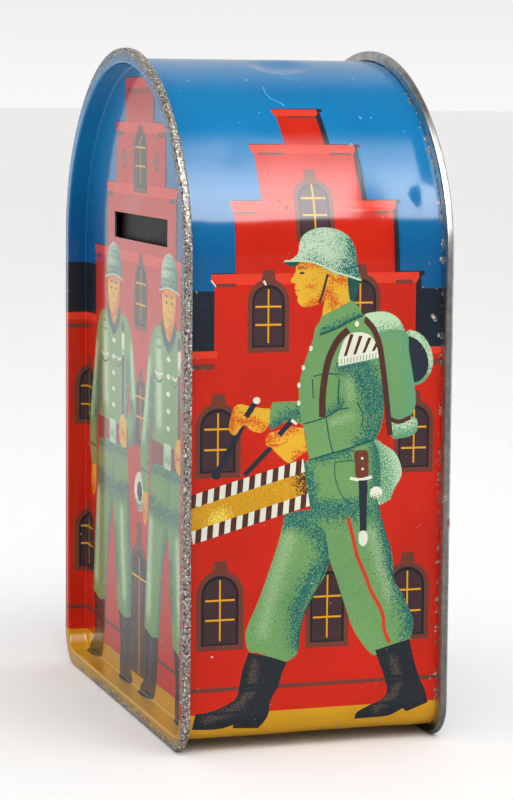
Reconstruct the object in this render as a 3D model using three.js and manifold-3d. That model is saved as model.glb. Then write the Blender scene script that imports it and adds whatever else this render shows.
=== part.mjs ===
// Tin money box with an arched top, made of three tinplate pressings: a wrapped body sheet and two end
// panels whose edges are folded over the body's flanges. Coins go in through a slot in the front panel,
// past a flap that hangs behind it, and come out through a small door in the back, which a bolt locks.
// Millimetres, +Z up, front panel towards -Y. The origin is on the ground, under the middle of the box.
import * as THREE from "three";
import { mergeVertices } from "three/addons/utils/BufferGeometryUtils.js";
import Module from "manifold-3d";

const wasm = await Module();
wasm.setup();

// ---- Driving dimensions ----
const width = 77;
const depth = 44;
const height = 110;
const archRise = 33; // from the top of the straight sides to the crown
const haunchRadius = 27.5; // the arch's tighter arcs, at its two sides
const footRadius = 6; // bottom corners of the folded rims
const tin = 0.3; // tinplate
const play = 0.2; // left between sheets that are folded together
const rimReach = 1.7; // how far the folded rims stand out from the body sheet
const recess = 3.4; // depth of each end panel behind its rim
const hemRound = 0.4; // rounding of the rims' outer edges

const slotLength = 33;
const slotHeight = 4.4;
const slotAboveSprings = 3.3; // slot's middle above the top of the straight sides

const wireRadius = 0.5; // the hinge and flap wires
const wirePlay = 0.2; // between a wire and the curl around it
const knuckleGap = 0.3; // along a wire, between neighbouring knuckles
const hingeStock = 0.3; // sheet that the knuckles are rolled from

const flapAbove = 4.5; // flap's wire above the slot's top edge
const flapBelow = 1.6; // flap's lower edge below the slot's bottom edge
const flapOverhang = 0.7; // flap past each end of the slot
const earHeight = 7.5;
const bracketStrip = 4.5; // height of the strip that is soldered above the flap

const openingWidth = 34;
const openingHeight = 32;
const openingMiddle = 32; // height of the door opening's middle
const openingRound = 2;
const doorLip = 2; // door past the opening's edges
const doorTin = 0.4;
const hingeLength = 28;
const leafWidth = 7;

const caseWidth = 18;
const caseHeight = 21;
const caseDepth = 6;
const caseSide = 2; // from the opening's locking edge to the case
const caseFoot = 3.5; // feet above and below the case, riveted to the door
const caseDrop = 0.5; // middle of the case below the middle of the opening

const boltTravel = 4.5;
const boltThickness = 1;
const boltHeight = 8;
const boltLength = 14;
const boltProud = 0.6; // bolt's end outside the case when it is drawn back
const boltBehindDoor = 1.2; // from the door's inner face to the bolt
const slideGap = 0.3; // round the bolt where it passes through the case

const keyholeRadius = 2.2;
const keySlit = 2;
const keyBit = 5.7; // reach of the key's bit from its centre
const keyUp = 7; // key's centre above the bottom of the case
const postRadius = 0.9;
const guidePinRadius = 0.6;

const rivetShank = 0.8;
const rivetHead = 1.5;
const rivetCrown = 0.7;
const rivetGap = 0.1; // rivets, pins and posts to the sheets they hold

// ---- Places worked out from the dimensions above ----
const halfDepth = depth / 2;
const hemThickness = 3 * tin + 2 * play;
const bodyOffset = rimReach; // offsets are measured inwards from the rim's outline
const wallOffset = bodyOffset + tin + play; // outside of an end panel's sunk wall
const panelOuter = halfDepth - recess; // distance of an end panel's outer face from the middle
const panelInner = panelOuter - tin;
const knuckleInner = wireRadius + wirePlay;
const knuckleOuter = knuckleInner + hingeStock;

// ---- Materials ----
const paint = (name, color, roughness, metalness) =>
  new THREE.MeshStandardMaterial({ name, color, roughness, metalness });
const printedTin = paint("printed tin", 0xd2301e, 0.25, 0.1);
const plainTin = paint("plain tin", 0xb9bab6, 0.35, 0.9);
const dullTin = paint("dull tin", 0x8f908c, 0.5, 0.85);
const blackedTin = paint("blacked tin", 0x1c1b1a, 0.55, 0.2);
const steelWire = paint("steel wire", 0x8b8c8e, 0.35, 0.95);
const springSteel = paint("spring steel", 0x4d5058, 0.4, 0.9);

// ---- Helpers ----
function solidOf(geometry) {
  const bare = geometry.index ? geometry.toNonIndexed() : geometry.clone();
  bare.deleteAttribute("normal");
  bare.deleteAttribute("uv");
  const merged = mergeVertices(bare, 1e-4);
  const vertProperties = new Float32Array(merged.attributes.position.array);
  const triVerts = new Uint32Array(merged.index.array);
  return new wasm.Manifold(new wasm.Mesh({ numProp: 3, vertProperties, triVerts }));
}

function geometryOf(solid) {
  const { numProp, numVert, vertProperties, triVerts } = solid.getMesh();
  const positions = new Float32Array(numVert * 3);
  for (let i = 0; i < numVert; i++) {
    positions.set(vertProperties.subarray(i * numProp, i * numProp + 3), i * 3);
  }
  const geometry = new THREE.BufferGeometry();
  geometry.setAttribute("position", new THREE.BufferAttribute(positions, 3));
  geometry.setIndex(new THREE.BufferAttribute(new Uint32Array(triVerts), 1));
  geometry.computeVertexNormals();
  return geometry;
}

const box = new THREE.Group();

function addPiece(name, solid, material) {
  const mesh = new THREE.Mesh(geometryOf(solid), material);
  mesh.name = name;
  box.add(mesh);
}

const union = (...solids) => solids.reduce((sum, next) => sum.add(next));

// A block between two corners.
function block(xLow, xHigh, yLow, yHigh, zLow, zHigh) {
  const made = new THREE.BoxGeometry(xHigh - xLow, yHigh - yLow, zHigh - zLow);
  made.translate((xLow + xHigh) / 2, (yLow + yHigh) / 2, (zLow + zHigh) / 2);
  return solidOf(made);
}

// A plate parallel to XZ, from an outline of (x, z) points, between two places along Y.
function plate(outline, yLow, yHigh, options = {}) {
  const shape = Array.isArray(outline) ? new THREE.Shape(outline) : outline;
  const made = new THREE.ExtrudeGeometry(shape, { depth: yHigh - yLow, bevelEnabled: false, ...options });
  made.rotateX(Math.PI / 2);
  made.translate(0, yHigh, 0);
  return solidOf(made);
}

// The same, with its outer edges rounded.
function roundedPlate(outline, yLow, yHigh, round) {
  return plate(outline, yLow + round, yHigh - round, {
    bevelEnabled: true,
    bevelThickness: round,
    bevelSize: round,
    bevelOffset: -round,
    bevelSegments: 3,
  });
}

// Points along an arc, from one angle to another.
function arc(x, z, radius, from, to, steps) {
  return Array.from({ length: steps + 1 }, (_, i) => {
    const angle = from + ((to - from) * i) / steps;
    return new THREE.Vector2(x + radius * Math.cos(angle), z + radius * Math.sin(angle));
  });
}

// A rectangle with rounded corners.
function roundedRectangle(xLow, xHigh, zLow, zHigh, radius, steps = 4) {
  const quarter = Math.PI / 2;
  return [
    ...arc(xHigh - radius, zLow + radius, radius, -quarter, 0, steps),
    ...arc(xHigh - radius, zHigh - radius, radius, 0, quarter, steps),
    ...arc(xLow + radius, zHigh - radius, radius, quarter, 2 * quarter, steps),
    ...arc(xLow + radius, zLow + radius, radius, 2 * quarter, 3 * quarter, steps),
  ];
}

// A round piece along +Y through (x, z), turned from (radius, y) pairs that start and end on the axis.
function turned(profile, x, z, segments = 20) {
  const points = profile.map(([radius, y]) => new THREE.Vector2(radius, y));
  const made = new THREE.LatheGeometry(points, segments);
  made.translate(x, 0, z);
  return solidOf(made);
}

const disc = (radius, x, z, yLow, yHigh, segments) =>
  turned([[0, yLow], [radius, yLow], [radius, yHigh], [0, yHigh]], x, z, segments);

// ---- The arched outline ----
// A three-centred arch on straight sides, with rounded bottom corners. Every offset keeps the same
// facets, so that sheets folded over each other stay parallel.
const halfWidth = width / 2;
const springing = height - archRise;
const crownRadius =
  (halfWidth ** 2 + archRise ** 2 - 2 * halfWidth * haunchRadius) / (2 * (archRise - haunchRadius));
const haunchX = halfWidth - haunchRadius;
const crownZ = height - crownRadius;
const crownHalf = Math.atan2(haunchX, springing - crownZ); // half of the crown arc's angle

function archOutline(offset) {
  const quarter = Math.PI / 2;
  const footX = halfWidth - footRadius;
  const foot = footRadius - offset;
  const haunch = haunchRadius - offset;
  const crown = crownRadius - offset;
  return [
    ...arc(footX, footRadius, foot, -quarter, 0, 6),
    ...arc(haunchX, springing, haunch, 0, quarter - crownHalf, 10),
    ...arc(0, crownZ, crown, quarter - crownHalf, quarter + crownHalf, 12).slice(1, -1),
    ...arc(-haunchX, springing, haunch, quarter + crownHalf, 2 * quarter, 10),
    ...arc(-footX, footRadius, foot, 2 * quarter, 3 * quarter, 6),
  ];
}

function archRing(outerOffset, innerOffset, yLow, yHigh) {
  const shape = new THREE.Shape(archOutline(outerOffset));
  shape.holes.push(new THREE.Path(archOutline(innerOffset)));
  return plate(shape, yLow, yHigh);
}

// Two distances from the middle as a low and a high value along Y, on one side: -1 in front, 1 behind.
const between = (side, near, far) => (side < 0 ? [-far, -near] : [near, far]);

// ---- Body sheet ----
// One printed sheet bent round the arch, its ends hooked into a lock seam along the middle of the base.
const seamLayer = tin + play;
const seamHook = 2.5; // half the width of the lock seam
const seamBack = 0.5; // a hook's free edge, short of the fold that holds it

// A strip of sheet along a centre line, with mitred bends.
function strip(line, thickness) {
  const side = (sign) =>
    line.map((point, i) => {
      const before = line[Math.max(i - 1, 0)];
      const after = line[Math.min(i + 1, line.length - 1)];
      const into = point.clone().sub(before).normalize();
      const out = after.clone().sub(point).normalize();
      if (i === 0) into.copy(out);
      if (i === line.length - 1) out.copy(into);
      const bisector = into.clone().add(out).normalize();
      const normal = new THREE.Vector2(-bisector.y, bisector.x);
      const reach = thickness / 2 / normal.dot(new THREE.Vector2(-into.y, into.x));
      return point.clone().addScaledVector(normal, sign * reach);
    });
  return [...side(-1), ...side(1).reverse()];
}

function bodySheet() {
  const layer = (n) => bodyOffset + tin / 2 + n * seamLayer;
  const at = (x, z) => new THREE.Vector2(x, z);
  const seamJog = seamHook + seamLayer + play;
  const seamEnd = panelInner - 2 * play; // the lock seam stops short of the end panels
  const flange = halfDepth - tin - play;
  const gapCut = block(
    seamHook + tin / 2, seamJog - tin / 2, -seamEnd, seamEnd, bodyOffset - play, bodyOffset + tin + play);
  const hookedUp = [
    at(0, layer(0)),
    at(seamHook, layer(0)),
    at(seamHook, layer(2)),
    at(-seamHook + seamBack + tin, layer(2)),
  ];
  const hookedOver = [
    at(seamHook - seamBack - tin, layer(1)),
    at(-seamHook, layer(1)),
    at(-seamHook, layer(3)),
    at(seamJog, layer(3)),
    at(seamJog, layer(0)),
    at(2 * seamJog, layer(0)),
  ];
  const flanges = [-1, 1].map((side) =>
    archRing(tin + play, bodyOffset + tin, ...between(side, flange - tin, flange)));
  const wrap = archRing(bodyOffset, bodyOffset + tin, -flange, flange).subtract(gapCut);
  const hooks = [hookedUp, hookedOver].map((line) => plate(strip(line, tin), -seamEnd, seamEnd));
  return union(wrap, ...hooks, ...flanges);
}

// ---- End panels ----
// A pressing sunk inside the body's end, with its edge folded out and back over the body's flange.
function endPanel(side) {
  const hemInner = halfDepth - hemThickness;
  const layers = union(
    archRing(0, wallOffset + tin, ...between(side, halfDepth - tin, halfDepth)),
    archRing(0, tin, ...between(side, hemInner, halfDepth)),
    archRing(0, rimReach - play, ...between(side, hemInner, hemInner + tin)),
    archRing(wallOffset, wallOffset + tin, ...between(side, panelInner, halfDepth)),
    plate(archOutline(wallOffset), ...between(side, panelInner, panelOuter)),
  );
  const envelope = union(
    roundedPlate(archOutline(0), ...between(side, hemInner, halfDepth), hemRound),
    plate(archOutline(2 * hemRound), ...between(side, panelInner, halfDepth)),
  );
  return layers.intersect(envelope);
}

addPiece("body_sheet", bodySheet(), printedTin);

// ---- Front panel and coin slot ----
const slotMiddle = springing + slotAboveSprings;
const slotLow = slotMiddle - slotHeight / 2;
const slotHigh = slotMiddle + slotHeight / 2;
const slotCut = block(-slotLength / 2, slotLength / 2, -halfDepth, -panelInner + tin, slotLow, slotHigh);
addPiece("front_panel", endPanel(-1).subtract(slotCut), printedTin);

// ---- Coin flap ----
// A light flap on a wire behind the slot, blacked like its bracket. A coin pushes it in, and the panel
// stops it from swinging out.
const flapWireZ = slotHigh + flapAbove;
const flapWireY = -panelInner + play + knuckleOuter;
const flapHalf = slotLength / 2 + flapOverhang;
const earInner = flapHalf + knuckleGap;
const earOuter = earInner + tin;
const flapHeadRadius = 2 * wireRadius;

// A round piece along X, from (radius, x) pairs that start and end on the axis.
function turnedAlongX(profile, y, z, segments = 16) {
  const points = profile.map(([radius, x]) => new THREE.Vector2(radius, x));
  const made = new THREE.LatheGeometry(points, segments);
  made.rotateZ(-Math.PI / 2);
  made.translate(0, y, z);
  return solidOf(made);
}

const rodAlongX = (radius, xLow, xHigh, y, z, segments) =>
  turnedAlongX([[0, xLow], [radius, xLow], [radius, xHigh], [0, xHigh]], y, z, segments);

// The leaf hangs straight down from the middle of its wire.
function coinFlap() {
  const curl = rodAlongX(knuckleOuter, -flapHalf, flapHalf, flapWireY, flapWireZ);
  const front = flapWireY - hingeStock / 2;
  const leaf = block(-flapHalf, flapHalf, front, front + hingeStock, slotLow - flapBelow, flapWireZ);
  const bore = rodAlongX(knuckleInner, -flapHalf - 1, flapHalf + 1, flapWireY, flapWireZ);
  return union(curl, leaf).subtract(bore);
}

function flapBracket() {
  const low = flapWireZ + knuckleOuter + knuckleGap;
  const back = -panelInner + play;
  const ear = (side) => {
    const [xLow, xHigh] = side < 0 ? [-earOuter, -earInner] : [earInner, earOuter];
    const top = low + bracketStrip;
    return block(xLow, xHigh, back, flapWireY + knuckleOuter, top - earHeight, top);
  };
  const stripPlate = block(-earOuter, earOuter, back, back + tin, low, low + bracketStrip);
  const hole = rodAlongX(knuckleInner, -earOuter - 1, earOuter + 1, flapWireY, flapWireZ);
  return union(stripPlate, ear(-1), ear(1)).subtract(hole);
}

// A wire with both ends headed over, along X.
function flapPin() {
  const end = earOuter + rivetGap;
  const head = end + wireRadius;
  return turnedAlongX(
    [[0, -head], [flapHeadRadius, -head], [flapHeadRadius, -end], [wireRadius, -end],
      [wireRadius, end], [flapHeadRadius, end], [flapHeadRadius, head], [0, head]],
    flapWireY, flapWireZ, 12);
}

addPiece("coin_flap", coinFlap(), blackedTin);
addPiece("flap_bracket", flapBracket(), blackedTin);
addPiece("flap_pin", flapPin(), steelWire);

// ---- Back panel, door and hinge ----
const openingHalf = openingWidth / 2;
const openingLow = openingMiddle - openingHeight / 2;
const openingHigh = openingMiddle + openingHeight / 2;
const doorInner = panelOuter + play;
const doorOuter = doorInner + doorTin;
const doorLow = openingLow - doorLip;
const doorHigh = openingHigh + doorLip;
const hingeX = openingHalf + doorLip + knuckleOuter;
const hingeY = doorInner + knuckleOuter;
const knuckles = 5;
const knuckleLength = (hingeLength - (knuckles - 1) * knuckleGap) / knuckles;
const knuckleClear = knuckleOuter + knuckleGap;
const leafRivetX = hingeX + (leafWidth + knuckleOuter) / 2;
const leafRivetUp = hingeLength / 3;
const leafRivets = [openingMiddle + leafRivetUp, openingMiddle - leafRivetUp];

// Height range of each knuckle along the hinge; the odd ones (1, 3) belong to the door.
const knuckleSpans = Array.from({ length: knuckles }, (_, i) => {
  const low = openingMiddle - hingeLength / 2 + i * (knuckleLength + knuckleGap);
  return [low, low + knuckleLength];
});
const doorSpans = knuckleSpans.filter((_, i) => i % 2 === 1);
const leafSpans = knuckleSpans.filter((_, i) => i % 2 === 0);

const rodAlongZ = (radius, x, y, zLow, zHigh, segments = 16) => {
  const made = new THREE.CylinderGeometry(radius, radius, zHigh - zLow, segments);
  made.rotateX(Math.PI / 2);
  made.translate(x, y, (zLow + zHigh) / 2);
  return solidOf(made);
};

// Knuckles at the given heights, each joined to its plate by a neck. toward is 1 for a plate towards +X.
function hingeKnuckles(spans, toward) {
  return spans.map(([low, high]) => {
    const reach = hingeX + toward * (knuckleClear + knuckleGap);
    const [xLow, xHigh] = [Math.min(hingeX, reach), Math.max(hingeX, reach)];
    const neck = block(xLow, xHigh, doorInner, doorInner + hingeStock, low, high);
    return union(rodAlongZ(knuckleOuter, hingeX, hingeY, low, high), neck);
  });
}

const hingeBore = rodAlongZ(knuckleInner, hingeX, hingeY, doorLow - 1, doorHigh + 1);

const rivetHole = (x, z) => disc(rivetShank + rivetGap, x, z, 0, halfDepth, 16);

const openingOutline = roundedRectangle(-openingHalf, openingHalf, openingLow, openingHigh, openingRound);
const openingCut = plate(openingOutline, panelInner - 1, panelOuter + 1);
addPiece(
  "back_panel",
  leafRivets.reduce(
    (panel, z) => panel.subtract(rivetHole(leafRivetX, z)),
    endPanel(1).subtract(openingCut)),
  plainTin,
);

// ---- Lock case ----
// A pressed cup on the door's inner face, with a foot above and below that is riveted to the door.
const caseLeft = -openingHalf + caseSide;
const caseRight = caseLeft + caseWidth;
const caseMiddle = openingMiddle - caseDrop;
const caseLow = caseMiddle - caseHeight / 2;
const caseHigh = caseMiddle + caseHeight / 2;
const caseTop = doorInner - play; // the rim of the cup, against the door
const caseBack = caseTop - caseDepth;
const lockRivetX = (caseLeft + caseRight) / 2;
const lockRivets = [caseHigh + caseFoot / 2, caseLow - caseFoot / 2];

const boltY = doorInner - boltBehindDoor - boltThickness;
const boltLow = caseMiddle - 1;
const boltLeft = caseLeft - boltProud;
const keyX = caseLeft + caseWidth / 2;
const keyZ = caseLow + keyUp;
const guideX = caseLeft + 3;
const guideZ = boltLow + boltHeight - 2.1;

function lockCase() {
  const outer = block(caseLeft, caseRight, caseBack, caseTop, caseLow, caseHigh);
  const inner = block(
    caseLeft + tin, caseRight - tin, caseBack + tin, caseTop + 1, caseLow + tin, caseHigh - tin);
  const feet = block(
    caseLeft, caseRight, caseTop - tin, caseTop, caseLow - caseFoot, caseHigh + caseFoot);
  const mouth = block(
    caseLeft - 1, caseLeft + 1, boltY - slideGap, boltY + boltThickness + slideGap,
    boltLow - slideGap, boltLow + boltHeight + slideGap);
  const holes = [
    disc(postRadius + rivetGap, keyX, keyZ, caseBack - 1, caseBack + 1, 16),
    disc(guidePinRadius + rivetGap, guideX, guideZ, caseBack - 1, caseBack + 1, 16),
    ...lockRivets.map((z) => rivetHole(lockRivetX, z)),
  ];
  return [mouth, ...holes].reduce((made, cut) => made.subtract(cut), union(outer, feet).subtract(inner));
}

function trapDoor() {
  const sheet = plate(
    roundedRectangle(-openingHalf - doorLip, hingeX - knuckleClear, doorLow, doorHigh, openingRound),
    doorInner, doorOuter);
  const keyhole = union(
    disc(keyholeRadius, keyX, keyZ, doorInner - 1, doorOuter + 1, 20),
    block(keyX - keySlit / 2, keyX + keySlit / 2, doorInner - 1, doorOuter + 1, keyZ - keyBit, keyZ),
  );
  const cuts = [keyhole, hingeBore, ...lockRivets.map((z) => rivetHole(lockRivetX, z))];
  const door = union(sheet, ...hingeKnuckles(doorSpans, -1));
  return cuts.reduce((made, cut) => made.subtract(cut), door);
}

function hingeLeaf() {
  const low = openingMiddle - hingeLength / 2;
  const leafStart = hingeX + knuckleClear;
  const sheet = block(leafStart, hingeX + leafWidth, doorInner, doorInner + tin, low, low + hingeLength);
  const made = union(sheet, ...hingeKnuckles(leafSpans, 1)).subtract(hingeBore);
  return leafRivets.reduce((leaf, z) => leaf.subtract(rivetHole(leafRivetX, z)), made);
}

// A wire along Z with both ends headed over.
function hingePin() {
  const end = hingeLength / 2 + rivetGap;
  const head = end + wireRadius;
  const headRadius = 1.6 * wireRadius;
  const profile = [[0, -head], [headRadius, -head], [headRadius, -end], [wireRadius, -end],
    [wireRadius, end], [headRadius, end], [headRadius, head], [0, head]];
  const made = new THREE.LatheGeometry(profile.map(([radius, z]) => new THREE.Vector2(radius, z)), 12);
  made.rotateX(Math.PI / 2);
  made.translate(hingeX, hingeY, openingMiddle);
  return solidOf(made);
}

// A rivet along Y with a domed head outside and a flat tail inside, through all between the two faces.
function rivet(x, z, innerFace, outerFace) {
  const crownSteps = 4;
  const crown = Array.from({ length: crownSteps + 1 }, (_, i) => {
    const angle = (Math.PI / 2) * (i / crownSteps);
    return [rivetHead * Math.cos(angle), outerFace + rivetGap + rivetCrown * Math.sin(angle)];
  });
  const tail = innerFace - rivetGap;
  return turned(
    [[0, tail - tin], [rivetHead, tail - tin], [rivetHead, tail], [rivetShank, tail],
      [rivetShank, outerFace + rivetGap], ...crown.slice(0, -1), [0, crown.at(-1)[1]]],
    x, z, 16);
}

addPiece("trap_door", trapDoor(), plainTin);
addPiece("hinge_leaf", hingeLeaf(), plainTin);
addPiece("hinge_pin", hingePin(), steelWire);
["upper", "lower"].forEach((place, i) => {
  addPiece(`hinge_rivet_${place}`, rivet(leafRivetX, leafRivets[i], panelInner, doorInner + tin), dullTin);
  addPiece(`lock_rivet_${place}`, rivet(lockRivetX, lockRivets[i], caseTop - tin, doorOuter), dullTin);
});
addPiece("lock_case", lockCase(), dullTin);

// ---- Lock works ----
// The bolt slides behind the opening's edge. The key turns on the post and moves the bolt by its notch.
function lockBolt() {
  const talonWidth = 3.2;
  const talonDepth = keyZ + keyBit + slideGap - boltLow;
  const guideHalf = guidePinRadius + slideGap;
  const plain = block(
    boltLeft, boltLeft + boltLength, boltY, boltY + boltThickness, boltLow, boltLow + boltHeight);
  const talon = block(
    keyX - talonWidth / 2, keyX + talonWidth / 2, boltY - 1, boltY + boltThickness + 1,
    boltLow - 1, boltLow + talonDepth);
  const guideSlot = plate(
    roundedRectangle(
      guideX - guideHalf, guideX + guideHalf + boltTravel, guideZ - guideHalf, guideZ + guideHalf,
      guideHalf - 0.01),
    boltY - 1, boltY + boltThickness + 1);
  return plain.subtract(talon).subtract(guideSlot);
}

// A post or pin along Y, headed over behind the case and shouldered inside it.
function standingPin(x, z, radius, length) {
  const floor = caseBack + tin + rivetGap;
  const shoulder = radius + 0.6;
  const shoulderHigh = 0.5;
  const behind = caseBack - rivetGap;
  return turned(
    [[0, behind - tin], [shoulder, behind - tin], [shoulder, behind], [radius, behind],
      [radius, floor], [shoulder, floor], [shoulder, floor + shoulderHigh], [radius, floor + shoulderHigh],
      [radius, floor + length], [0, floor + length]],
    x, z, 16);
}

// A bowed strip between the top of the case and the bolt's upper edge.
function boltSpring() {
  const springHalf = 6;
  const middleX = caseLeft + caseWidth / 2;
  const ceiling = caseHigh - tin - slideGap;
  const sag = ceiling - (boltLow + boltHeight + slideGap) - tin;
  const steps = 12;
  const line = Array.from({ length: steps + 1 }, (_, i) => {
    const t = (2 * i) / steps - 1;
    return new THREE.Vector2(middleX + t * springHalf, ceiling - tin / 2 - sag * (1 - t * t));
  });
  return plate(strip(line, tin), boltY + 0.1, boltY + boltThickness - 0.1);
}

addPiece("lock_bolt", lockBolt(), steelWire);
addPiece("key_post", standingPin(keyX, keyZ, postRadius, caseDepth - 1), steelWire);
addPiece(
  "bolt_guide_pin",
  standingPin(guideX, guideZ, guidePinRadius, boltY + boltThickness + slideGap - caseBack - tin),
  steelWire,
);
addPiece("bolt_spring", boltSpring(), springSteel);

export default box;
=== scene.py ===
from functools import partial
from math import atan2, cos, hypot, pi, radians, sin

import bmesh
import bpy
import numpy
from mathutils import Matrix, Vector
from mathutils.geometry import delaunay_2d_cdt


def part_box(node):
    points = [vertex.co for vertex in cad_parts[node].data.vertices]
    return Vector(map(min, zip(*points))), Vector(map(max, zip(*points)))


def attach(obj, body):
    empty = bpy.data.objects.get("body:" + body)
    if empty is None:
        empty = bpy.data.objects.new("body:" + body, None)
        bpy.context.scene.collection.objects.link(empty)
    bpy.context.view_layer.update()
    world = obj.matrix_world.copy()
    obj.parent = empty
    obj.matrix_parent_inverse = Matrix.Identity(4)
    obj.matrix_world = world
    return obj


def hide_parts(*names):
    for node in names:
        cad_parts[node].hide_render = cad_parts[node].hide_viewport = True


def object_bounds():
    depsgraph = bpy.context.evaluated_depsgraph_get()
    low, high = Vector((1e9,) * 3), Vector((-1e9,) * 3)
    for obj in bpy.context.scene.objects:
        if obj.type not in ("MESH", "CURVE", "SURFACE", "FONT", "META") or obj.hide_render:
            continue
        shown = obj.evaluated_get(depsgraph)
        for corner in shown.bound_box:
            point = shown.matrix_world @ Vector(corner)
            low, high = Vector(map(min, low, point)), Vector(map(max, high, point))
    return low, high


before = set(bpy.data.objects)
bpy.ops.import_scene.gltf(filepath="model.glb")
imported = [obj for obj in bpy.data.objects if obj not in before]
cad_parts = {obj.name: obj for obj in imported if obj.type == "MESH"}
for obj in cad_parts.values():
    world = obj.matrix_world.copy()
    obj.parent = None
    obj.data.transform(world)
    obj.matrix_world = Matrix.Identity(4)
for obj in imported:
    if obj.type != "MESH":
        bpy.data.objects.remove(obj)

cad_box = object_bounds()
MM = 0.001


# ---- Camera ----
# A long lens, a little above the box and well round to its right-hand side, so that the front is seen at
# a slant and the side almost square on.
lens_place = Vector((0.4166, -0.1323, 0.1014))
lens_azimuth = radians(72.14)
lens_elevation = radians(6.55)
lens_roll = radians(-0.49)
back = Vector((
    sin(lens_azimuth) * cos(lens_elevation),
    -cos(lens_azimuth) * cos(lens_elevation),
    sin(lens_elevation),
))
right = Vector((cos(lens_azimuth), sin(lens_azimuth), 0))
up = back.cross(right)
rolled_right = right * cos(lens_roll) - up * sin(lens_roll)
rolled_up = right * sin(lens_roll) + up * cos(lens_roll)
camera_data = bpy.data.cameras.new("camera")
camera_data.lens = 117
camera_data.sensor_width = 36
camera_data.clip_start = 0.01
camera = bpy.data.objects.new("camera", camera_data)
turn = Matrix((rolled_right, rolled_up, back)).transposed()
camera.matrix_world = Matrix.Translation(lens_place) @ turn.to_4x4()
bpy.context.scene.collection.objects.link(camera)
bpy.context.scene.camera = camera
bpy.context.scene.view_settings.view_transform = "Standard"


# ---- Floor and light ----
# Pale studio paper under the box, with a wide soft box high on the drummer's side and a weak one in front.
# The varnish mirrors a soft box and walls of the room's own, and a black flag on the near paper.
def new_material(name):
    made = bpy.data.materials.new(name)
    made.use_nodes = True
    return made, made.node_tree.nodes, made.node_tree.links


def ramp(nodes, links, value, low, high, to_low=0.0, to_high=1.0):
    """A smooth step of a value between two limits."""
    made = nodes.new("ShaderNodeMapRange")
    made.interpolation_type = "SMOOTHSTEP"
    made.inputs["From Min"].default_value = low
    made.inputs["From Max"].default_value = high
    made.inputs["To Min"].default_value = to_low
    made.inputs["To Max"].default_value = to_high
    links.new(value, made.inputs["Value"])
    return made.outputs["Result"]


def arithmetic(nodes, links, operation, first, second, third=None):
    """A Math node on values, each a socket or a number."""
    made = nodes.new("ShaderNodeMath")
    made.operation = operation
    for key, value in ((0, first), (1, second), (2, third)):
        if isinstance(value, (int, float)):
            made.inputs[key].default_value = value
        elif value is not None:
            links.new(value, made.inputs[key])
    return made.outputs["Value"]


floor_size = 60.0
floor_mesh = bpy.data.meshes.new("floor")
floor_half = floor_size / 2
floor_corners = [(-floor_half, -floor_half, 0), (floor_half, -floor_half, 0),
                 (floor_half, floor_half, 0), (-floor_half, floor_half, 0)]
floor_mesh.from_pydata(floor_corners, [], [(0, 1, 2, 3)])
floor = bpy.data.objects.new("floor", floor_mesh)
bpy.context.scene.collection.objects.link(floor)
paper, nodes, links = new_material("studio_paper")
paper_grain = nodes.new("ShaderNodeTexNoise")
paper_grain.inputs["Scale"].default_value = 9
paper_tint = nodes.new("ShaderNodeMix")
paper_tint.data_type = "RGBA"
paper_tint.inputs["A"].default_value = (0.87, 0.86, 0.855, 1)
paper_tint.inputs["B"].default_value = (0.9, 0.895, 0.89, 1)
where = nodes.new("ShaderNodeTexCoord")
links.new(where.outputs["Object"], paper_grain.inputs["Vector"])
links.new(paper_grain.outputs["Fac"], paper_tint.inputs["Factor"])
floor_place = nodes.new("ShaderNodeSeparateXYZ")
links.new(where.outputs["Object"], floor_place.inputs["Vector"])
flag_depth = ramp(nodes, links, floor_place.outputs["X"], -0.15, 0.1, 0.42, 0.92)
behind = arithmetic(nodes, links, "MULTIPLY_ADD", floor_place.outputs["X"], -0.6, floor_place.outputs["Y"])
flag_depth = arithmetic(nodes, links, "MULTIPLY", flag_depth,
    ramp(nodes, links, behind, 0.05, 0.14, 1.0, 0.0))
ray = nodes.new("ShaderNodeLightPath")
flag = arithmetic(nodes, links, "MULTIPLY", ray.outputs["Is Glossy Ray"], flag_depth)
flagged = nodes.new("ShaderNodeMix")
flagged.data_type = "RGBA"
flagged.inputs["B"].default_value = (0.02, 0.02, 0.02, 1)
links.new(flag, flagged.inputs["Factor"])
links.new(paper_tint.outputs["Result"], flagged.inputs["A"])
links.new(flagged.outputs["Result"], nodes["Principled BSDF"].inputs["Base Color"])
nodes["Principled BSDF"].inputs["Roughness"].default_value = 0.9
floor_mesh.materials.append(paper)


def area_light(name, aim, azimuth, elevation, distance, size, power, tint=(1, 1, 1)):
    """A rectangular light that faces aim from a direction. Azimuth 0 is +X, 90 is +Y. What the varnish
    mirrors is in the room's own light below."""
    data = bpy.data.lights.new(name, "AREA")
    data.shape = "RECTANGLE"
    data.size, data.size_y = size
    data.energy = power
    data.color = tint
    made = bpy.data.objects.new(name, data)
    a, e = radians(azimuth), radians(elevation)
    towards = Vector((cos(a) * cos(e), sin(a) * cos(e), sin(e)))
    made.location = Vector(aim) + towards * distance
    made.rotation_euler = towards.to_track_quat("Z", "Y").to_euler()
    made.visible_glossy = False
    bpy.context.scene.collection.objects.link(made)
    return made


area_light("soft_box", (0, 0, 0.06), 10, 56, 0.9, (0.9, 0.5), 3.4)
area_light("front_fill", (0, 0, 0.05), 262, 25, 1.2, (0.9, 0.7), 0.62)

world = bpy.data.worlds.new("room")
world.use_nodes = True
bpy.context.scene.world = world
nodes, links = world.node_tree.nodes, world.node_tree.links

where = nodes.new("ShaderNodeTexCoord")
split = nodes.new("ShaderNodeSeparateXYZ")
links.new(where.outputs["Generated"], split.inputs["Vector"])
rise = arithmetic(nodes, links, "ARCSINE", split.outputs["Z"], None)
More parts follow.
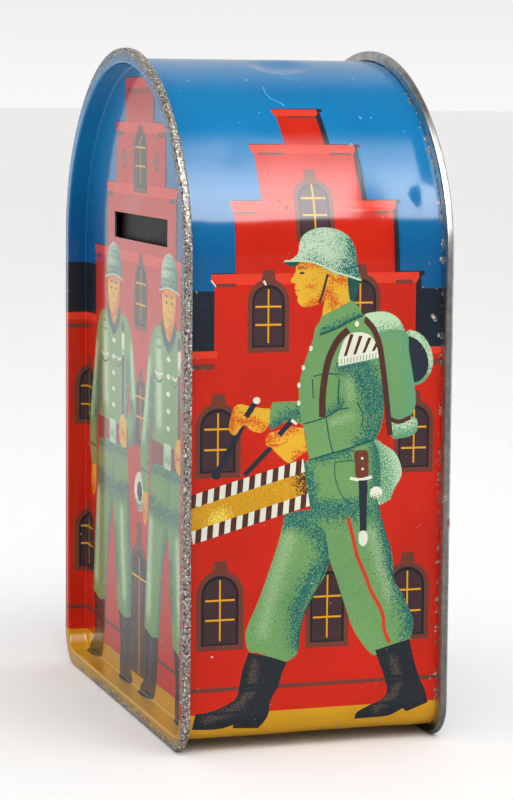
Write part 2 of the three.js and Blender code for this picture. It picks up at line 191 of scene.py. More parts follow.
# A soft box that the varnish mirrors: sharp along its lower edge and at its right-hand end, fading upwards.
box_low = ramp(nodes, links, rise, radians(23), radians(25.5))
box_high = ramp(nodes, links, rise, radians(40), radians(84), 1.0, 0.0)
box_left = ramp(nodes, links, split.outputs["Y"], -0.6, -0.5)
box_right = ramp(nodes, links, split.outputs["Y"], 0.364, 0.374, 1.0, 0.0)
upright = arithmetic(nodes, links, "MULTIPLY", box_low, box_high)
sideways = arithmetic(nodes, links, "MULTIPLY", box_left, box_right)
near_side = ramp(nodes, links, split.outputs["X"], 0.0, 0.2)
soft_box = arithmetic(nodes, links, "MULTIPLY", upright, arithmetic(nodes, links, "MULTIPLY", sideways,
    near_side))
# Pale walls on the drummer's far side, dim ones behind the camera, and a pale one behind the back panel.
walls = ramp(nodes, links, split.outputs["X"], -0.72, -0.42, 0.55, 0.05)
mirrored = arithmetic(nodes, links, "MULTIPLY_ADD", soft_box, 12.0, walls)
rear_wall = ramp(nodes, links, split.outputs["Y"], 0.5, 0.85, 0.0, 0.8)
mirrored = arithmetic(nodes, links, "ADD", mirrored, rear_wall)
path = nodes.new("ShaderNodeLightPath")
glossy = nodes.new("ShaderNodeMix")
glossy.inputs["A"].default_value = 0.88
links.new(path.outputs["Is Glossy Ray"], glossy.inputs["Factor"])
links.new(mirrored, glossy.inputs["B"])
seen = nodes.new("ShaderNodeMix")
links.new(ramp(nodes, links, split.outputs["Z"], -0.004, 0.045, 0.94, 0.865), seen.inputs["B"])
links.new(path.outputs["Is Camera Ray"], seen.inputs["Factor"])
links.new(glossy.outputs["Result"], seen.inputs["A"])
links.new(seen.outputs["Result"], nodes["Background"].inputs["Color"])


# ---- Printed body sheet ----
# One sheet of tinplate, printed flat in colours and varnished, then bent up one side, over the arch and down
# the other, with its ends hooked together under the base and a flange turned out at each end. Both sides
# carry the same picture: a drummer who marches past a red house with a stepped gable.
half_width = cad_box[1][0] / MM
half_depth = cad_box[1][1] / MM
height = cad_box[1][2] / MM
arch_rise = 33
haunch_radius = 27.5
foot_radius = 6
tin = 0.3
sheet_inset = 1.7      # body sheet behind the outline of the rims
hem_depth = 1.3        # a rim along Y
springing = height - arch_rise
crown_radius = (half_width**2 + arch_rise**2 - 2 * half_width * haunch_radius) / (2
    * (arch_rise - haunch_radius))
haunch_x = half_width - haunch_radius
crown_z = height - crown_radius
haunch_turn = pi / 2 - atan2(haunch_x, springing - crown_z)
foot_x = half_width - foot_radius


def lengths_at(inset):
    """Lengths along the half outline at an inset: foot arc, haunch arc and crown arc."""
    foot = (foot_radius - inset) * pi / 2
    haunch = (haunch_radius - inset) * haunch_turn
    crown = (crown_radius - inset) * (pi / 2 - haunch_turn)
    return foot, haunch, crown


def along_outline(s, inset):
    """The point (x, z) and the outward direction at a length s up the right-hand half of the outline.
    On the straight side s is the height. It is negative round the foot and under the base."""
    foot, haunch, _ = lengths_at(inset)
    if s < foot_radius - foot:
        return foot_x - (foot_radius - foot - s), inset, 0.0, -1.0
    if s < foot_radius:
        turned = (s - foot_radius) / (foot_radius - inset)
        out = (cos(turned), sin(turned))
        return (foot_x + (foot_radius - inset) * out[0], foot_radius + (foot_radius - inset) * out[1], *out)
    if s < springing:
        return half_width - inset, s, 1.0, 0.0
    if s < springing + haunch:
        turned = (s - springing) / (haunch_radius - inset)
        out = (cos(turned), sin(turned))
        return (haunch_x + (haunch_radius - inset) * out[0], springing + (haunch_radius - inset) * out[1],
            *out)
    turned = haunch_turn + (s - springing - haunch) / (crown_radius - inset)
    out = (cos(turned), sin(turned))
    return ((crown_radius - inset) * out[0], crown_z + (crown_radius - inset) * out[1], *out)


foot_length, haunch_length, crown_length = lengths_at(sheet_inset)
sheet_low = foot_radius - foot_length - foot_x     # under the middle of the base
sheet_high = springing + haunch_length + crown_length     # at the crown


def srgb(red, green, blue):
    """A colour given in screen values, as linear light."""
    def linear(value):
        share = value / 255
        return share / 12.92 if share <= 0.04045 else ((share + 0.055) / 1.055) ** 2.4
    return (linear(red), linear(green), linear(blue), 1.0)


# SKY_HIGH is the sky's ink with painted light from above, paler than SKY_LOW at the foot of the sky.
SKY_LOW = srgb(0, 90, 144)
SKY_HIGH = srgb(6, 122, 180)
DUSK = srgb(26, 36, 46)
BRICK = srgb(200, 32, 6)
CORNICE = srgb(226, 58, 34)
GROUND = srgb(206, 152, 22)
SHADOW = srgb(32, 34, 44)
FRAME_BROWN = srgb(112, 58, 46)
PANE = srgb(66, 46, 50)
PANE_EDGE = srgb(34, 34, 42)
BAR = srgb(226, 160, 24)
CLOTH = srgb(112, 158, 96)
CLOTH_DARK = srgb(30, 104, 100)
CLOTH_PALE = srgb(188, 216, 178)
CLOTH_LIGHT = srgb(146, 180, 128)
CLOTH_LINE = srgb(28, 84, 76)
PACK = srgb(98, 156, 116)
SKIN = srgb(226, 176, 46)
SKIN_RED = srgb(214, 92, 28)
LEATHER = srgb(84, 46, 40)
BOOT = srgb(36, 42, 48)
BOOT_GLOSS = srgb(86, 74, 68)
STICK = srgb(38, 46, 58)
DRUM = srgb(212, 154, 22)
CREAM = srgb(228, 228, 208)
STRIPE = srgb(204, 62, 34)


def spline(points, closed=True, steps=5):
    """A smooth line through points. A point with a third value, such as (y, s, 0), is a sharp corner."""
    count = len(points)
    line = []
    for i in range(count if closed else count - 1):
        a, b = points[i], points[(i + 1) % count]
        before = points[i - 1] if closed or i > 0 else a
        after = points[(i + 2) % count] if closed or i + 2 < count else b
        leave = ((b[0] - before[0]) / 2, (b[1] - before[1]) / 2)
        arrive = ((after[0] - a[0]) / 2, (after[1] - a[1]) / 2)
        if len(a) > 2:
            leave = (b[0] - a[0], b[1] - a[1])
        if len(b) > 2:
            arrive = (b[0] - a[0], b[1] - a[1])
        straight = len(a) > 2 and len(b) > 2
        for k in range(1 if straight else steps):
            t = k / steps
            h1, h2 = 2 * t**3 - 3 * t**2 + 1, t**3 - 2 * t**2 + t
            h3, h4 = -2 * t**3 + 3 * t**2, t**3 - t**2
            line.append(tuple(h1 * a[n] + h2 * leave[n] + h3 * b[n] + h4 * arrive[n] for n in (0, 1)))
    if not closed:
        line.append(tuple(points[-1][:2]))
    return line


def rectangle(left, right_, low, high):
    return [(left, low), (right_, low), (right_, high), (left, high)]


def round_top(middle, half, low, high, steps=10):
    """A panel with a half-round top."""
    arc = [(middle + half * cos(pi * k / steps), high - half + half * sin(pi * k / steps))
        for k in range(steps + 1)]
    return [(middle - half, low), (middle + half, low)] + arc


def circle(middle, radius, steps=18, squeeze=1.0):
    turns = [2 * pi * k / steps for k in range(steps)]
    return [(middle[0] + radius * squeeze * cos(a), middle[1] + radius * sin(a)) for a in turns]


def stroke(points, width, end_width=None, smooth=True):
    """A brush stroke along points, from one width to another."""
    line = spline(points, closed=False, steps=4) if smooth and len(points) > 2 else [p[:2] for p in points]
    end_width = width if end_width is None else end_width
    sides = ([], [])
    for i, (u, v) in enumerate(line):
        before, after = line[max(i - 1, 0)], line[min(i + 1, len(line) - 1)]
        run = hypot(after[0] - before[0], after[1] - before[1]) or 1
        half = (width + (end_width - width) * i / (len(line) - 1)) / 2
        nu, nv = -(after[1] - before[1]) / run * half, (after[0] - before[0]) / run * half
        sides[0].append((u + nu, v + nv))
        sides[1].append((u - nu, v - nv))
    return sides[0] + sides[1][::-1]


def lay(picture, outline, ink, shade=None, gleam=None):
    """Adds a shape on top of a picture. shade and gleam are (ink, reach, paths): dots of that ink, dense on
    the paths and thinning out over reach."""
    picture.append({"outline": outline, "ink": ink, "shade": shade, "gleam": gleam})


def lay_window(picture, middle, low, high, half, bars, bar_half=None, upright=None, peak=1.4):
    """An arched window: brown surround with a pointed keystone, dark pane and yellow glazing bars."""
    lay(picture, [(middle - half * 0.36, high - 0.6), (middle + half * 0.36, high - 0.6),
                  (middle + half * 0.26, high + peak), (middle - half * 0.26, high + peak)], FRAME_BROWN)
    lay(picture, round_top(middle, half, low, high), FRAME_BROWN)
    lay(picture, round_top(middle, half * 0.78, low + 0.8, high - 0.9), PANE_EDGE)
    lay(picture, round_top(middle, half * 0.68, low + 1.1, high - 1.4), PANE)
    reach = bar_half or half * 0.64
    bottom, top = upright or (low + 1.5, high - 1.6)
    lay(picture, rectangle(middle - 0.13, middle + 0.13, bottom, top), BAR)
    for level in bars:
        lay(picture, rectangle(middle - reach, middle + reach, level - 0.15, level + 0.15), BAR)


def lay_steps(picture, steps, shadow):
    """Gable steps from the top down: (left, right, top, bottom) of each, under a cornice, with a dark edge
    on the right."""
    for left, right_, top, bottom in steps:
        lay(picture, rectangle(right_ - 0.2, right_ + shadow, bottom, top - 0.2), SHADOW)
        lay(picture, rectangle(left - 0.5, right_ + shadow + 0.5, top - 0.55, top + 0.16), SHADOW)
    for left, right_, top, bottom in steps:
        lay(picture, rectangle(left, right_, bottom - 0.5, top - 0.4), BRICK)
        cornice = [(left, top - 1.7), (right_, top - 1.7), (right_ + 0.5, top - 1.0), (right_ + 0.5, top),
                   (left - 0.5, top), (left - 0.5, top - 1.0)]
        lay(picture, cornice, CORNICE)


def lit_sky(point):
    """The sky's ink, painted lighter upwards: painted light from above, which falls more on the top of the
    arch.
    """
    share = smooth_step(74, 98, point[1])
    return tuple(low + (high - low) * share for low, high in zip(SKY_LOW, SKY_HIGH))


print_half = 22.2      # the printed sheet reaches past the bend of its flanges
drummer_side = []
side_print = partial(lay, drummer_side)
side_print_window = partial(lay_window, drummer_side)
side_print(rectangle(-print_half, print_half, sheet_low, 6.4), GROUND)
side_print(rectangle(-print_half, print_half, 6.4, 63), BRICK)
side_print(rectangle(-print_half, print_half, 63, 72.5), DUSK)
side_print(rectangle(-print_half, print_half, 72.5, sheet_high), lit_sky)
lay_steps(drummer_side, [(-3.4, 3.2, 104.5, 96), (-8.8, 7.6, 96.5, 86), (-13.4, 12.6, 86.4, 75),
                         (-16.8, 16.2, 75.1, 62.5)], 0.9)
side_print(rectangle(-print_half, -16.3, 62.2, 63.3), CORNICE)
side_print(rectangle(15.9, print_half, 62.2, 63.3), CORNICE)
for low_left, low_right, level, drop in ((-21, -16.8, 60.9, 0.9), (19.4, 21, 60.9, 0.9),
        (-8.2, -4.0, 94.7, 0.5), (3.6, 7.2, 94.7, 0.5), (-1.6, 3.1, 102.6, 0.5), (-16.6, -13.4, 73.4, 0.5),
        (12.8, 15.6, 73.6, 0.6), (-13.1, -9.6, 84.5, 0.4), (9.4, 12.2, 84.5, 0.4)):
    side_print(rectangle(low_left, low_right, level - drop / 2, level + drop / 2), FRAME_BROWN)
side_print(rectangle(-print_half, print_half, 9.95, 10.6), FRAME_BROWN)
for window in (
        (-0.4, 80, 90.2, 3.2, (86.8, 84.1), 2.0, (81, 89.2), 1.6),
        (-8.1, 62.9, 74.3, 3.4, (70.0, 67.2), 2.1),
        (6.9, 62.9, 75.0, 3.4, (70.4, 67.2), 2.1),
        (-16.1, 43.6, 55.3, 3.7, (51.2, 48.0), 2.2),
        (16.2, 43.4, 55.0, 3.3, (50.6, 47.3), 2.1),
        (-15.6, 16.5, 29.2, 3.9, (24.4, 21.3), 2.4),
        (2.05, 16.1, 29.2, 3.6, (24.2, 20.9), 2.3),
        (15.5, 16.5, 29.2, 3.7, (24.6, 21.2), 2.3)):
    side_print_window(*window)

fold = CLOTH_DARK
# Round tin, pack and bag on the drummer's back.
side_print(spline([(14.6, 65.2), (16.0, 65.8), (17.7, 64.8), (19.0, 62.6), (19.2, 60.2), (18.2, 58.2),
    (16.6, 57.3), (14.9, 57.8)]), PACK, gleam=(CLOTH_PALE, 2.2, [[(16, 65.5), (18.9, 61)]]))
side_print(spline([(14.4, 64.4), (16.2, 64.6), (17.9, 62.8), (18.5, 60.4), (17.8, 58.6), (16.4, 57.7),
                          (14.6, 58.2)]), STICK)
side_print(spline([(7.6, 68.3), (9.2, 68.9), (11.6, 68.8), (13.4, 67.7), (14.4, 65.9), (14.7, 64.0),
    (11.2, 63.6), (9.4, 66.2)]), CLOTH_PALE, shade=(PACK, 1.6, [[(9, 65.4), (14.6, 65.4)]]))
side_print(spline([(10.2, 65.1), (14.6, 65.7), (15.2, 62.5), (15.9, 58.8), (16.4, 55.4), (16.2, 53.4),
    (15.3, 52.2), (13.8, 51.8), (12.2, 52.2), (11.2, 57.0)]), PACK,
    shade=(CLOTH, 2.5, [[(12, 64), (13.4, 54)]]))
side_print(spline([(12.2, 51.4), (16.2, 52.2), (16.8, 50.2), (15.9, 49.3), (14.2, 48.9), (12.6, 49.0)]), PACK,
    gleam=(CLOTH_PALE, 1.2, [[(12.5, 50.6), (16, 51.4)]]))
side_print(stroke([(11.8, 52.2), (13.6, 51.5), (15.6, 52.2)], 0.7), LEATHER)
side_print(spline([(9.4, 48.3), (11.4, 47.8), (13.1, 46.6), (14.1, 44.6), (14.2, 42.8), (13.3, 41.2),
    (12.6, 39.8), (12.2, 39.1), (9.6, 39.0)]), CLOTH_PALE, shade=(PACK, 2.6,
    [[(9.6, 48), (11.2, 44), (12, 39.4)]]))

# Trousers: the leg behind, then the leg in front.
side_print(spline([(0.4, 39, 0), (2.2, 30.6), (3.4, 27.2), (5.0, 22.6), (6.2, 19.2), (7.6, 16.8), (9.9, 14.3),
                          (11.4, 15.3), (13.6, 15.9), (16.0, 16.7), (16.6, 19.3), (16.0, 21.2), (14.8, 23.8),
                          (13.3, 26.4), (12.9, 30.4), (12.0, 33.2), (10.8, 36.4), (10.3, 39.2, 0)]), CLOTH,
    shade=(fold, 2.4, [[(10.6, 38.6), (11.6, 33.6), (12.1, 28.5), (14.0, 24.6), (16.2, 20.6), (16.2, 18)],
                       [(1.4, 38), (8.5, 37.6)]]),
    gleam=(CLOTH_LIGHT, 1.4, [[(9.4, 34.0), (11.0, 28.0), (12.6, 23.4)]]))
side_print(spline([(-5.2, 37.6, 0), (-6.0, 33.6), (-7.6, 28.8), (-9.2, 24.4), (-10.9, 20.6), (-11.4, 18.6),
    (-10.9, 16.2), (-9.2, 15.7), (-6.9, 14.8), (-5.0, 14.1), (-3.4, 14.7), (-2.7, 15.8), (-2.4, 18.8),
    (-1.5, 22.2), (0.2, 25.2), (1.6, 27.6), (2.3, 29.8, 0), (1.8, 33.4), (0.6, 38.4, 0)]), CLOTH,
    shade=(fold, 2.2, [[(-4.8, 36.4), (-1.6, 36.0), (1.4, 33.2), (2.0, 29.8), (-1.0, 26.6), (-3.0, 22.6),
    (-2.8, 17)], [(-4.8, 37.4), (0.6, 37.8)]]), gleam=(CLOTH_LIGHT, 1.8,
    [[(-4.4, 33.8), (-7.4, 24.4), (-8.6, 19)]]))
side_print(stroke([(2.2, 30.0), (0.2, 25.3), (-1.6, 22.0), (-2.5, 18.4), (-2.7, 15.8)], 0.22), CLOTH_LINE)
side_print(stroke([(5.3, 36.6), (6.2, 33.4), (7.0, 30.2), (8.3, 27.4), (9.4, 24.6), (10.8, 22.2),
    (11.5, 20.2), (11.7, 18.2), (12.6, 16.2)], 0.62), STRIPE)
side_print(stroke([(10.4, 38.6), (11.5, 34.4), (12.5, 31.0), (12.6, 28.2), (13.5, 25.6)], 0.18), CLOTH_LINE)

# Boots.
rear_boot = [(10.2, 15.1, 0), (13.2, 15.9), (16.0, 16.6, 0), (16.8, 13.2), (17.8, 10.2), (18.8, 8.1),
    (19.3, 6.1, 0), (15.7, 4.8, 0), (15.0, 5.4, 0), (13.6, 4.6), (12.0, 4.1), (7.0, 4.0, 0), (7.3, 5.2),
    (9.0, 6.1), (11.4, 7.1), (12.3, 8.4), (11.9, 10.4), (10.9, 13.0)]
front_boot = [(-10.9, 15.9, 0), (-7.6, 15.1), (-4.5, 14.0, 0), (-5.3, 12.4), (-6.0, 10.2), (-7.2, 8.0),
    (-7.6, 5.8), (-9.0, 3.5, 0), (-13.2, 3.8, 0), (-13.2, 4.5, 0), (-15.0, 3.9), (-17.2, 3.8),
    (-19.9, 4.0, 0), (-19.5, 6.6, 0), (-17.0, 6.9), (-14.6, 7.7), (-12.9, 8.8), (-12.4, 10.4),
    (-11.9, 13.0)]
side_print(spline(rear_boot), BOOT, gleam=(BOOT_GLOSS, 0.9, [[(13.2, 13.6), (14.4, 9.8), (13.2, 7.6),
    (10.4, 5.6)]]))
side_print(spline(front_boot), BOOT, gleam=(BOOT_GLOSS, 0.9,
    [[(-9.8, 14.2), (-10.5, 9.6), (-13.4, 6.8), (-17.6, 5.6)]]))

# Skirt of the jacket.
side_print(spline([(-2.4, 45.6, 0), (-1.6, 42.0), (-0.9, 38.4), (1.6, 38.5), (4.4, 38.1), (7.4, 38.4),
    (10.3, 39.2), (10.8, 43.0), (10.4, 46.4), (9.5, 48.8, 0), (3.6, 47.4)]), CLOTH,
    shade=(fold, 1.7, [[(9.9, 48.0), (10.2, 43.6), (9.9, 39.6)],
    [(-2.2, 45.4), (-1.0, 42.0), (-0.6, 38.6), (4, 38.3), (7.4, 38.5)], [(-1.0, 46.2), (5, 47.2)]]))
for points, width in (
        ([(3.0, 45.3), (3.2, 42.8), (4.2, 40.2), (5.8, 38.7)], 0.16),
        ([(3.0, 45.4), (5.4, 45.6), (7.8, 45.3)], 0.16)):
    side_print(stroke(points, width), CLOTH_LINE)
# Leather sling with a spare drumstick.
side_print(spline([(6.3, 46.9), (7.4, 47.2), (8.5, 46.9), (8.7, 44.6), (8.5, 42.9), (6.7, 42.9),
    (6.4, 45.0)]), srgb(112, 58, 42))
side_print(circle((7.6, 45.9), 0.22, 8), CREAM)
side_print(circle((7.7, 44.2), 0.22, 8), CREAM)
side_print(stroke([(5.6, 42.8), (7.4, 42.5), (9.3, 42.9)], 0.5), CREAM)
side_print(stroke([(7.8, 42.4), (7.9, 34.2)], 1.5, 1.1, False), STICK)
side_print(spline([(7.3, 34.2), (8.5, 34.2), (8.6, 32.6), (7.9, 31.9), (7.2, 32.6)]), CREAM)
side_print(circle((10.0, 40.3), 1.05, 14), CREAM, shade=(PACK, 0.8, [[(9.4, 39.4), (10.6, 39.4)]]))

# Far arm and its hand with a stick.
side_print(spline([(-7.9, 52.2), (-7.4, 54.9), (-7.0, 55.2, 0), (-2.6, 55.2, 0), (-2.0, 51.6), (-4.4, 52.2),
    (-7.6, 50.8, 0)]), CLOTH, shade=(fold, 1.5, [[(-7.4, 51.2), (-4.4, 53.0), (-2.4, 53.6)]]))
side_print(stroke([(-10.0, 55.4), (-12.6, 50.8), (-16.3, 44.2)], 0.85, 0.95, False), STICK)
side_print(circle((-16.35, 44.1), 0.75, 12), STICK)
side_print(spline([(-13.6, 54.4), (-12.6, 55.0), (-10.8, 54.6), (-9.0, 54.3), (-7.7, 54.2, 0),
    (-7.8, 51.6, 0), (-9.0, 50.5), (-10.6, 50.8), (-12.0, 51.7), (-13.3, 50.2), (-14.3, 50.9),
    (-14.2, 52.4)]), SKIN, shade=(SKIN_RED, 1.0, [[(-13.6, 54.0), (-13.8, 51.0)],
    [(-12.6, 52.4), (-10.2, 52.2), (-8.4, 51.0)]]))
for finger in ([(-12.9, 53.8), (-11.4, 53.6), (-10.4, 53.8)], [(-13.2, 52.6), (-12.0, 52.3), (-10.8, 52.5)],
               [(-13.8, 53.0), (-13.9, 51.2)]):
    side_print(stroke(finger, 0.16), SKIN_RED)
side_print(stroke([(-9.9, 55.5), (-11.6, 53.0)], 0.9, 0.9, False), STICK)
side_print(circle((-9.9, 55.5), 0.55, 12, 1.1), CREAM)

# Drum with its striped hoops, slung at the hip.
hoop_left, hoop_right = (-20.9, 38.9), (-1.9, 44.2)


def drum_point(along, down):
    """A point on the drum: along from its left edge to its right, down from its upper hoop."""
    slant = (1.2 * down / 7.4, -down)
    u = hoop_left[0] + (hoop_right[0] - hoop_left[0]) * along
    v = hoop_left[1] + (hoop_right[1] - hoop_left[1]) * along
    return (u + slant[0], v + slant[1])


def drum_band(top, bottom, start=0.0, end=1.0, lean=0.0):
    return [drum_point(start + lean, top), drum_point(start, bottom), drum_point(end, bottom),
        drum_point(end + lean, top)]


side_print(drum_band(0, 3.6), DRUM, shade=(LEATHER, 2.4, [[(-2.0, 43.4), (-1.2, 40.6)]]),
    gleam=(srgb(240, 214, 90), 1.6, [[(-16.4, 37.2), (-15.2, 37.6)]]))
for hoop_top, hoop_bottom in ((-1.9, 0.1), (3.5, 5.5)):
    side_print(drum_band(hoop_top, hoop_bottom), CREAM)
    stripes = 10
    for i in range(stripes):
        start = (i + 0.15) / stripes
        side_print(drum_band(hoop_top, hoop_bottom, start, min(start + 0.05, 0.98), 0.025), LEATHER)

# Jacket, with the pack's straps over it.
side_print(spline([(0.2, 67.4), (-0.9, 64.4), (-2.2, 61.0), (-3.0, 57.6), (-2.9, 54.4), (-2.3, 51.4),
    (-1.0, 50.6), (2.0, 47.2), (9.6, 48.7, 0), (10.6, 50.4), (11.1, 53.4), (11.0, 57.6), (10.5, 62.2),
    (9.7, 65.8), (8.0, 68.2), (5.0, 69.0)]), CLOTH, shade=(fold, 1.6,
    [[(9.6, 60.6), (9.9, 56.0), (9.6, 51.6)], [(4.0, 60.3), (6.6, 60.5), (8.2, 59.2), (9.4, 55.6)],
    [(2.0, 52.8), (4.4, 54.2), (6.4, 53.6)]]))
for points, width in (
        ([(-0.8, 58.6), (-0.6, 55.6)], 0.2),
        ([(-0.6, 59.0), (1.4, 59.4), (3.6, 59.2)], 0.2),
        ([(3.8, 60.2), (3.5, 56.6), (3.6, 54.4)], 0.24)):
    side_print(stroke(points, width), CLOTH_LINE)
for button in ((-1.1, 63.4), (-2.3, 60.4), (-3.0, 57.7), (-3.0, 54.9)):
    side_print(circle(button, 0.42, 10, 0.7), CREAM)
# Near arm: upper sleeve, forearm and cuff.
side_print(spline([(3.9, 60.4), (7.0, 61.6), (10.2, 61.7), (10.9, 57.2), (11.0, 53.0), (10.4, 50.2),
    (9.5, 48.7), (6.0, 47.6), (2.2, 46.9), (-1.2, 45.9, 0), (-1.7, 48.6), (-2.3, 51.6, 0), (1.2, 52.5),
    (3.6, 53.6), (4.6, 55.0), (3.8, 57.6)]), CLOTH, shade=(fold, 1.9,
    [[(4.2, 60.4), (8.0, 60.9), (9.4, 57.4), (9.2, 52.8), (8.6, 50.2)],
    [(6.4, 59.6), (8.4, 56.2), (8.6, 53.6)], [(10.6, 56), (10.8, 52), (9.8, 49.4), (7.2, 48.2)]]),
    gleam=(CLOTH_LIGHT, 1.0, [[(5.2, 58.2), (5.6, 55.6)], [(2.6, 51.6), (5.4, 52.6)]]))
for points, width in (
        ([(-2.2, 51.6), (1.3, 52.5), (3.7, 53.7), (5.2, 53.9)], 0.22),
        ([(1.5, 52.6), (2.0, 49.6), (2.7, 47.0)], 0.2),
        ([(-1.2, 45.9), (2.2, 46.8), (6.0, 47.7), (9.6, 48.8)], 0.24),
        ([(6.6, 54.8), (7.6, 52.8), (7.4, 50.8)], 0.2)):
    side_print(stroke(points, width), CLOTH_LINE)
# Striped shoulder wing with its fringe.
wing = spline([(3.4, 61.8, 0), (4.0, 63.8), (4.9, 65.3), (6.6, 65.8), (8.6, 65.3), (9.7, 63.8),
    (10.1, 62.7, 0)])
side_print(wing, CREAM)
for i in range(4):
    foot = 4.3 + 1.5 * i
    side_print([(foot, 62.0 + 0.15 * i), (foot + 0.5, 62.1 + 0.15 * i), (foot + 1.6, 65.5 - 0.3 * i),
                       (foot + 1.0, 65.5 - 0.3 * i)], LEATHER)
side_print([(3.4, 61.9), (10.1, 62.9), (10.1, 61.7), (3.5, 60.5)], CREAM)
for i in range(12):
    side_print(stroke([(3.9 + 0.52 * i, 60.75 + 0.08 * i), (3.95 + 0.52 * i, 61.6 + 0.08 * i)], 0.13, None,
        False), PACK)
# Straps and collar.
for points, width in (
        ([(5.0, 66.2), (3.3, 64.6), (1.9, 61.8), (1.2, 58.6), (0.9, 55.6), (0.9, 52.6)], 1.1),
        ([(7.6, 67.9), (9.2, 66.2), (10.2, 63.8), (10.8, 60.6), (11.4, 56.2), (11.9, 52.0), (12.2, 49.4)],
         0.95)):
    side_print(stroke(points, width), LEATHER)
side_print(spline([(5.2, 66.9), (6.6, 68.0), (7.7, 68.1, 0), (7.3, 66.0), (5.8, 65.9)]), CLOTH)
side_print(circle((6.4, 67.1), 0.45, 10, 0.8), CREAM)

# Neck and head in profile, with a calm, plain face.
side_print(spline([(0.9, 70.0), (0.5, 67.4, 0), (5.9, 69.6, 0), (5.2, 72.4), (4.9, 75.2, 0),
    (2.0, 75.2, 0)]), SKIN, shade=(SKIN_RED, 1.2, [[(1.9, 74.2), (4.6, 73.8)], [(1.6, 72.6), (2.6, 70.0)]]))
face = spline([(-3.5, 77.2, 0), (-3.7, 76.0), (-3.75, 75.3), (-4.2, 74.5), (-4.55, 73.95), (-4.2, 73.65),
    (-3.7, 73.5), (-3.85, 73.0), (-3.85, 72.7), (-3.55, 72.5), (-3.75, 72.2), (-3.6, 71.8), (-3.35, 71.5),
    (-3.4, 70.9), (-3.0, 70.2), (-2.2, 69.85), (-1.0, 69.95), (0.6, 70.6), (1.7, 71.9), (2.4, 73.6),
    (3.0, 76.6, 0)])
side_print(face, SKIN, shade=(SKIN_RED, 1.0, [[(-3.4, 76.5), (0.4, 76.6), (2.6, 75.8)],
    [(1.6, 72.4), (0.4, 70.9), (-1.6, 70.1)], [(-1.5, 73.0), (-1.1, 73.3)]]))
side_print(stroke([(-3.3, 75.75), (-2.7, 75.95), (-1.9, 75.8)], 0.22, 0.14), LEATHER)
side_print(spline([(-3.15, 75.1), (-2.7, 75.32), (-2.2, 75.1), (-2.7, 74.95)]), BOOT)
side_print(stroke([(-3.75, 72.48), (-3.2, 72.42), (-2.9, 72.5)], 0.16, 0.1), SKIN_RED)
side_print(spline([(1.6, 74.6), (2.2, 75.2), (2.9, 74.8), (2.8, 73.6), (2.2, 72.9), (1.7, 73.4)]), SKIN,
    shade=(SKIN_RED, 0.5, [[(1.9, 74.7), (2.5, 74.2), (2.1, 73.3)]]))
side_print(stroke([(1.5, 74.9), (0.9, 72.6), (0.2, 70.4)], 0.4), LEATHER)
side_print(spline([(4.9, 75.4), (6.6, 74.0), (6.3, 71.6), (5.6, 70.2), (5.0, 71.8)]), CLOTH_LINE)
# Plain round helmet.
helmet = spline([(-5.9, 76.8, 0), (-4.4, 77.3), (-3.4, 78.2), (-3.1, 79.8), (-2.2, 81.2), (0.1, 82.1),
    (2.8, 81.9), (4.9, 80.8), (6.0, 79.0), (6.3, 77.2), (6.6, 75.4), (7.2, 73.7, 0), (5.2, 74.3),
    (2.6, 75.0), (0.4, 76.1), (-2.0, 76.8)])
side_print(helmet, srgb(146, 184, 152), shade=(fold, 1.9, [[(5.6, 80.0), (6.3, 77), (6.6, 74.4)],
    [(4.6, 75.6), (6.0, 76.6)], [(-4.6, 76.9), (0.4, 76.4)]]),
    gleam=(srgb(196, 214, 186), 3.0, [[(-4.0, 77.6), (-1.4, 79.4), (1.0, 81.0)],
    [(1.6, 78.0), (0.6, 80.0)]]))
side_print(spline([(-5.9, 76.95, 0), (-3.9, 77.0), (-3.0, 76.9, 0), (-3.6, 76.3), (-4.8, 76.2)]), CLOTH_LINE)
side_print(stroke([(-5.6, 77.0), (-1.8, 76.95), (0.6, 76.2), (2.8, 75.2), (5.2, 74.5), (7.0, 73.9)], 0.3),
    CLOTH_PALE)
# Collar over the neck.
side_print(spline([(0.1, 67.0, 0), (0.4, 65.5, 0), (3.0, 66.4), (5.4, 67.6), (7.4, 68.4, 0), (6.6, 69.8),
    (5.5, 70.8, 0), (3.2, 69.6), (0.6, 68.4, 0)]), CLOTH, shade=(fold, 0.9,
    [[(0.6, 65.9), (3.2, 66.8), (6.8, 68.3)]]))
side_print(stroke([(0.3, 65.5), (3.0, 66.4), (5.4, 67.6), (7.4, 68.4)], 0.3), CLOTH_LINE)

# Near hand over the upper hoop, with its stick.
side_print(stroke([(-4.2, 52.1), (-7.6, 48.0), (-11.8, 43.9)], 0.8, 0.8, False), STICK)
side_print(spline([(-8.0, 50.2), (-6.4, 50.7), (-4.6, 51.3), (-2.2, 51.0, 0), (-1.6, 47.4, 0), (-3.2, 46.3),
    (-4.6, 45.6), (-6.0, 46.6), (-7.4, 48.0), (-8.4, 48.7)]), SKIN,
    shade=(SKIN_RED, 1.0, [[(-8.0, 49.8), (-7.4, 48.6)], [(-6.8, 50.4), (-3.6, 50.8)],
    [(-3.4, 46.6), (-2.0, 47.4)]]))
for finger in ([(-7.9, 49.4), (-6.6, 49.6), (-5.6, 50.1)], [(-7.4, 48.4), (-6.0, 48.5), (-4.9, 49.0)]):
    side_print(stroke(finger, 0.16), SKIN_RED)
side_print(stroke([(-4.0, 52.3), (-6.2, 50.0)], 0.85, 0.85, False), STICK)
side_print(stroke([(-4.2, 52.3), (-3.3, 51.6)], 0.5, 0.4, False), CREAM)
